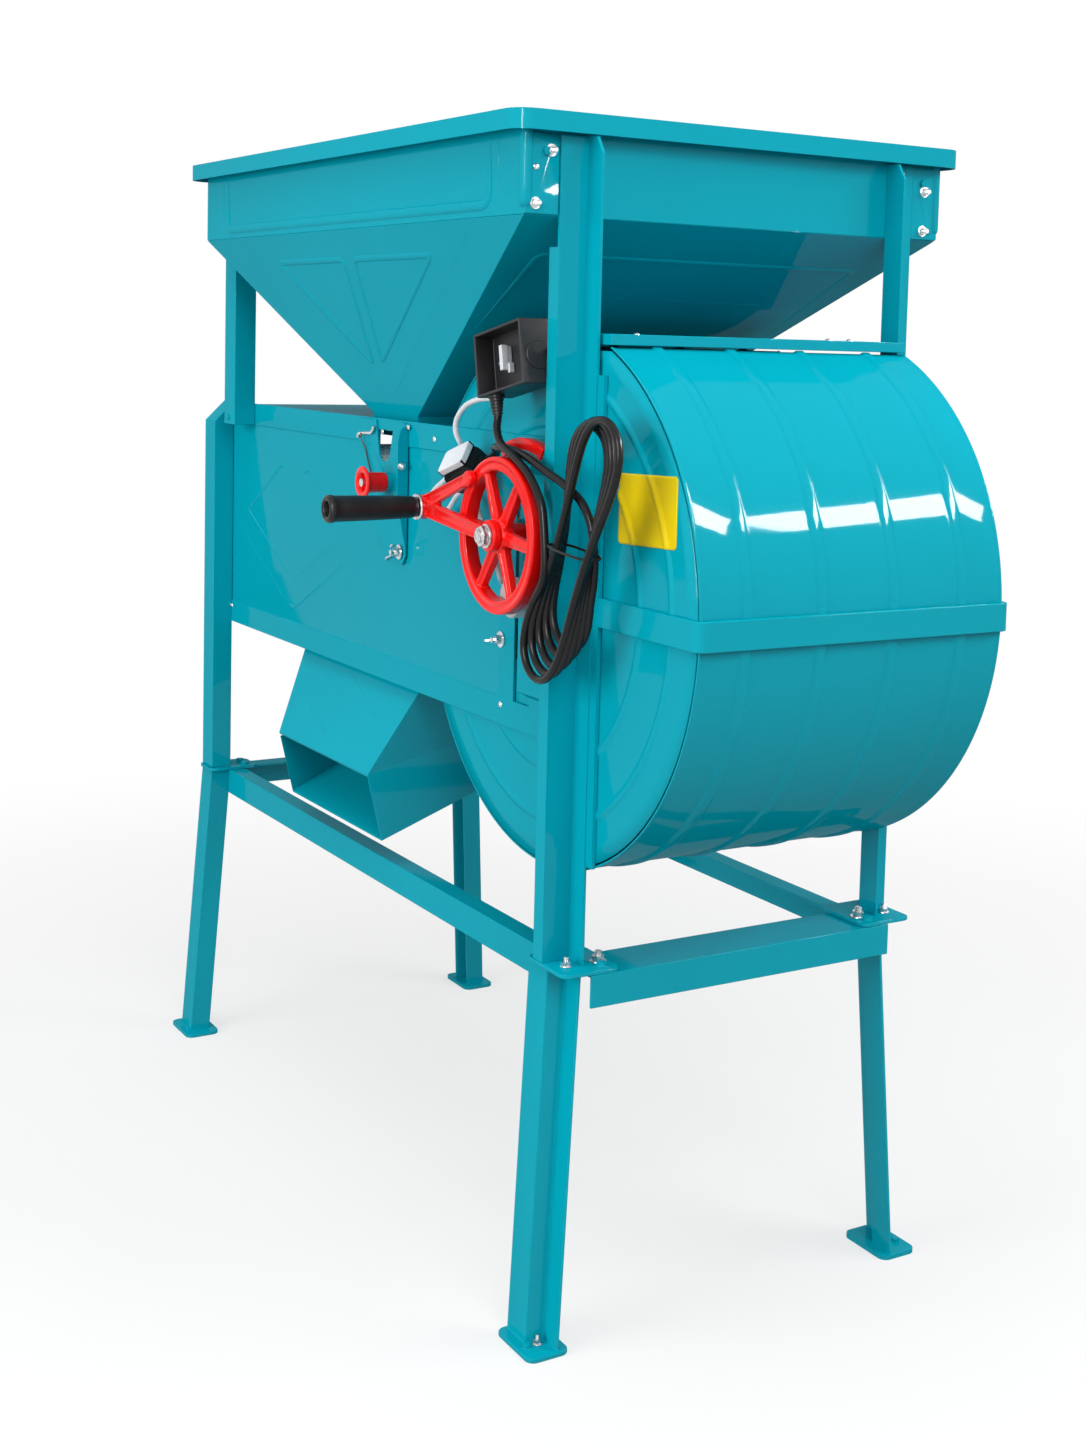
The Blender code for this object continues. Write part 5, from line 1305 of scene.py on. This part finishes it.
# %% [markdown]
# ## Solids that keep their own mesh
#
# The remaining solids already have the right shape and only need a finish. Small castings and
# moulded boxes get the same rolled edges as the sheets, on the body that they belong to.

# %% Box, knob, gears and plain solids
BODIES = frame["record"]["behaviour"]["bodies"]
BODY_OF = {node: body for body, members in BODIES.items() for node in members}
BOXES = (("switch_box", BLACK, 0.0012), ("crank_gear", GEAR_BLACK, 0.0002),
         ("fan_pinion", GEAR_BLACK, 0.0002), ("motor", ALLOY, 0.0006))
for name, finish, width in BOXES:
    rolled(name, finish, width, BODY_OF[name], 3)
print("rolled edges on", [name for name, _, _ in BOXES])
for name, finish in (("crank_shaft", ZINC), ("fan_shaft", ZINC), ("feed_flap", ZINC),
                     ("fan_rotor", GEAR_BLACK)):
    NODES[name].data.materials.clear()
    NODES[name].data.materials.append(finish)

# %% [markdown]
# ## Wheel guard, switch knob and corner ribs
#
# The guard behind the wheel is a short arc of flanged strip, swept round the wheel's axis. The
# switch has a half-round knob with a finger bar across it, extruded from its outline. The
# hopper band is pressed into an upright rib at each near corner, which stiffens the joint.

# %% Wheel guard
GUARD_FROM, GUARD_SWEEP, GUARD_STEPS = 64, 54, 36
bm = bmesh.new()
GUARD_SECTION = [(0.0880, -0.2220), (0.0990, -0.2220), (0.1000, -0.2210), (0.1000, -0.2120),
                 (0.0985, -0.2120), (0.0985, -0.2200), (0.0880, -0.2200)]
rows = []
for i in range(GUARD_STEPS + 1):
    angle = math.radians(GUARD_FROM + GUARD_SWEEP * i / GUARD_STEPS)
    rows.append([bm.verts.new(at(HUB_X + r * math.cos(angle), y, HUB_Z + r * math.sin(angle)))
                 for r, y in GUARD_SECTION])
skin(bm, rows, ring=True)
bm.faces.new(rows[0])
bm.faces.new(rows[-1])
guard = from_bmesh("guard_arc", bm, BODY_OF["wheel_guard"], RED)
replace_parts(guard, "wheel_guard")
print("guard arc spans", GUARD_SWEEP, "degrees")

# %% Switch knob, its screw and the round cap at the box's side
KNOB_R = 0.0125
KNOB_TURN = BOX_TURN @ Matrix.Translation((-0.012, -0.2272, 0.003)) @ TOWARDS_USER
bm = bmesh.new()
half_round = [(KNOB_R * math.cos(a), KNOB_R * math.sin(a))
              for a in (math.radians(72 + 216 * i / 24) for i in range(25))]
add_block(bm, half_round, 0.0002, 0.0052, KNOB_TURN)
finger_bar = rounded_box(-0.0012, 0.0050, -0.0130, 0.0130, 0.0012)
add_block(bm, finger_bar, 0.0052, 0.0125, KNOB_TURN)
pointer = [(0.0035, -0.0160), (0.0075, -0.0160), (0.0075, -0.0060), (0.0035, -0.0060)]
add_block(bm, pointer, 0.0002, 0.0060, KNOB_TURN)
knob = from_bmesh("half_round_knob", bm, BODY_OF["switch_knob"], WHITE)
roll_edges(knob, 0.0007)
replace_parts(knob, "switch_knob")
hardware("switch_screw", [(BOX_TURN @ Vector((-0.034, -0.2268, 0.001)), FRONT)], add_rivet)
CAP_TURN = BOX_TURN @ Matrix.Translation((0.0500, -0.2285, -0.004)) @ Matrix.Rotation(math.pi / 2, 4, "Y")
turned_piece("box_side_cap", [(0, 0.0), (0.0145, 0.0), (0.0145, 0.0008), (0.0138, 0.0014), (0, 0.0014)],
             CAP_TURN, "machine", BLACK, 40)
print("knob outline has", len(half_round), "points")

# %% Corner ribs of the hopper band
for word, side in (("front", -1), ("back", 1)):
    outline = [(0.0, 1.1560), (0.0034, 1.1568), (0.0058, 1.1592), (0.0066, 1.1630), (0.0066, 1.2420),
               (0.0, 1.2440)]
    turned_piece(f"corner_rib_{word}", outline, Matrix.Translation(at(0.5075, side * 0.2585, 0)),
                 "machine", TEAL, 32)
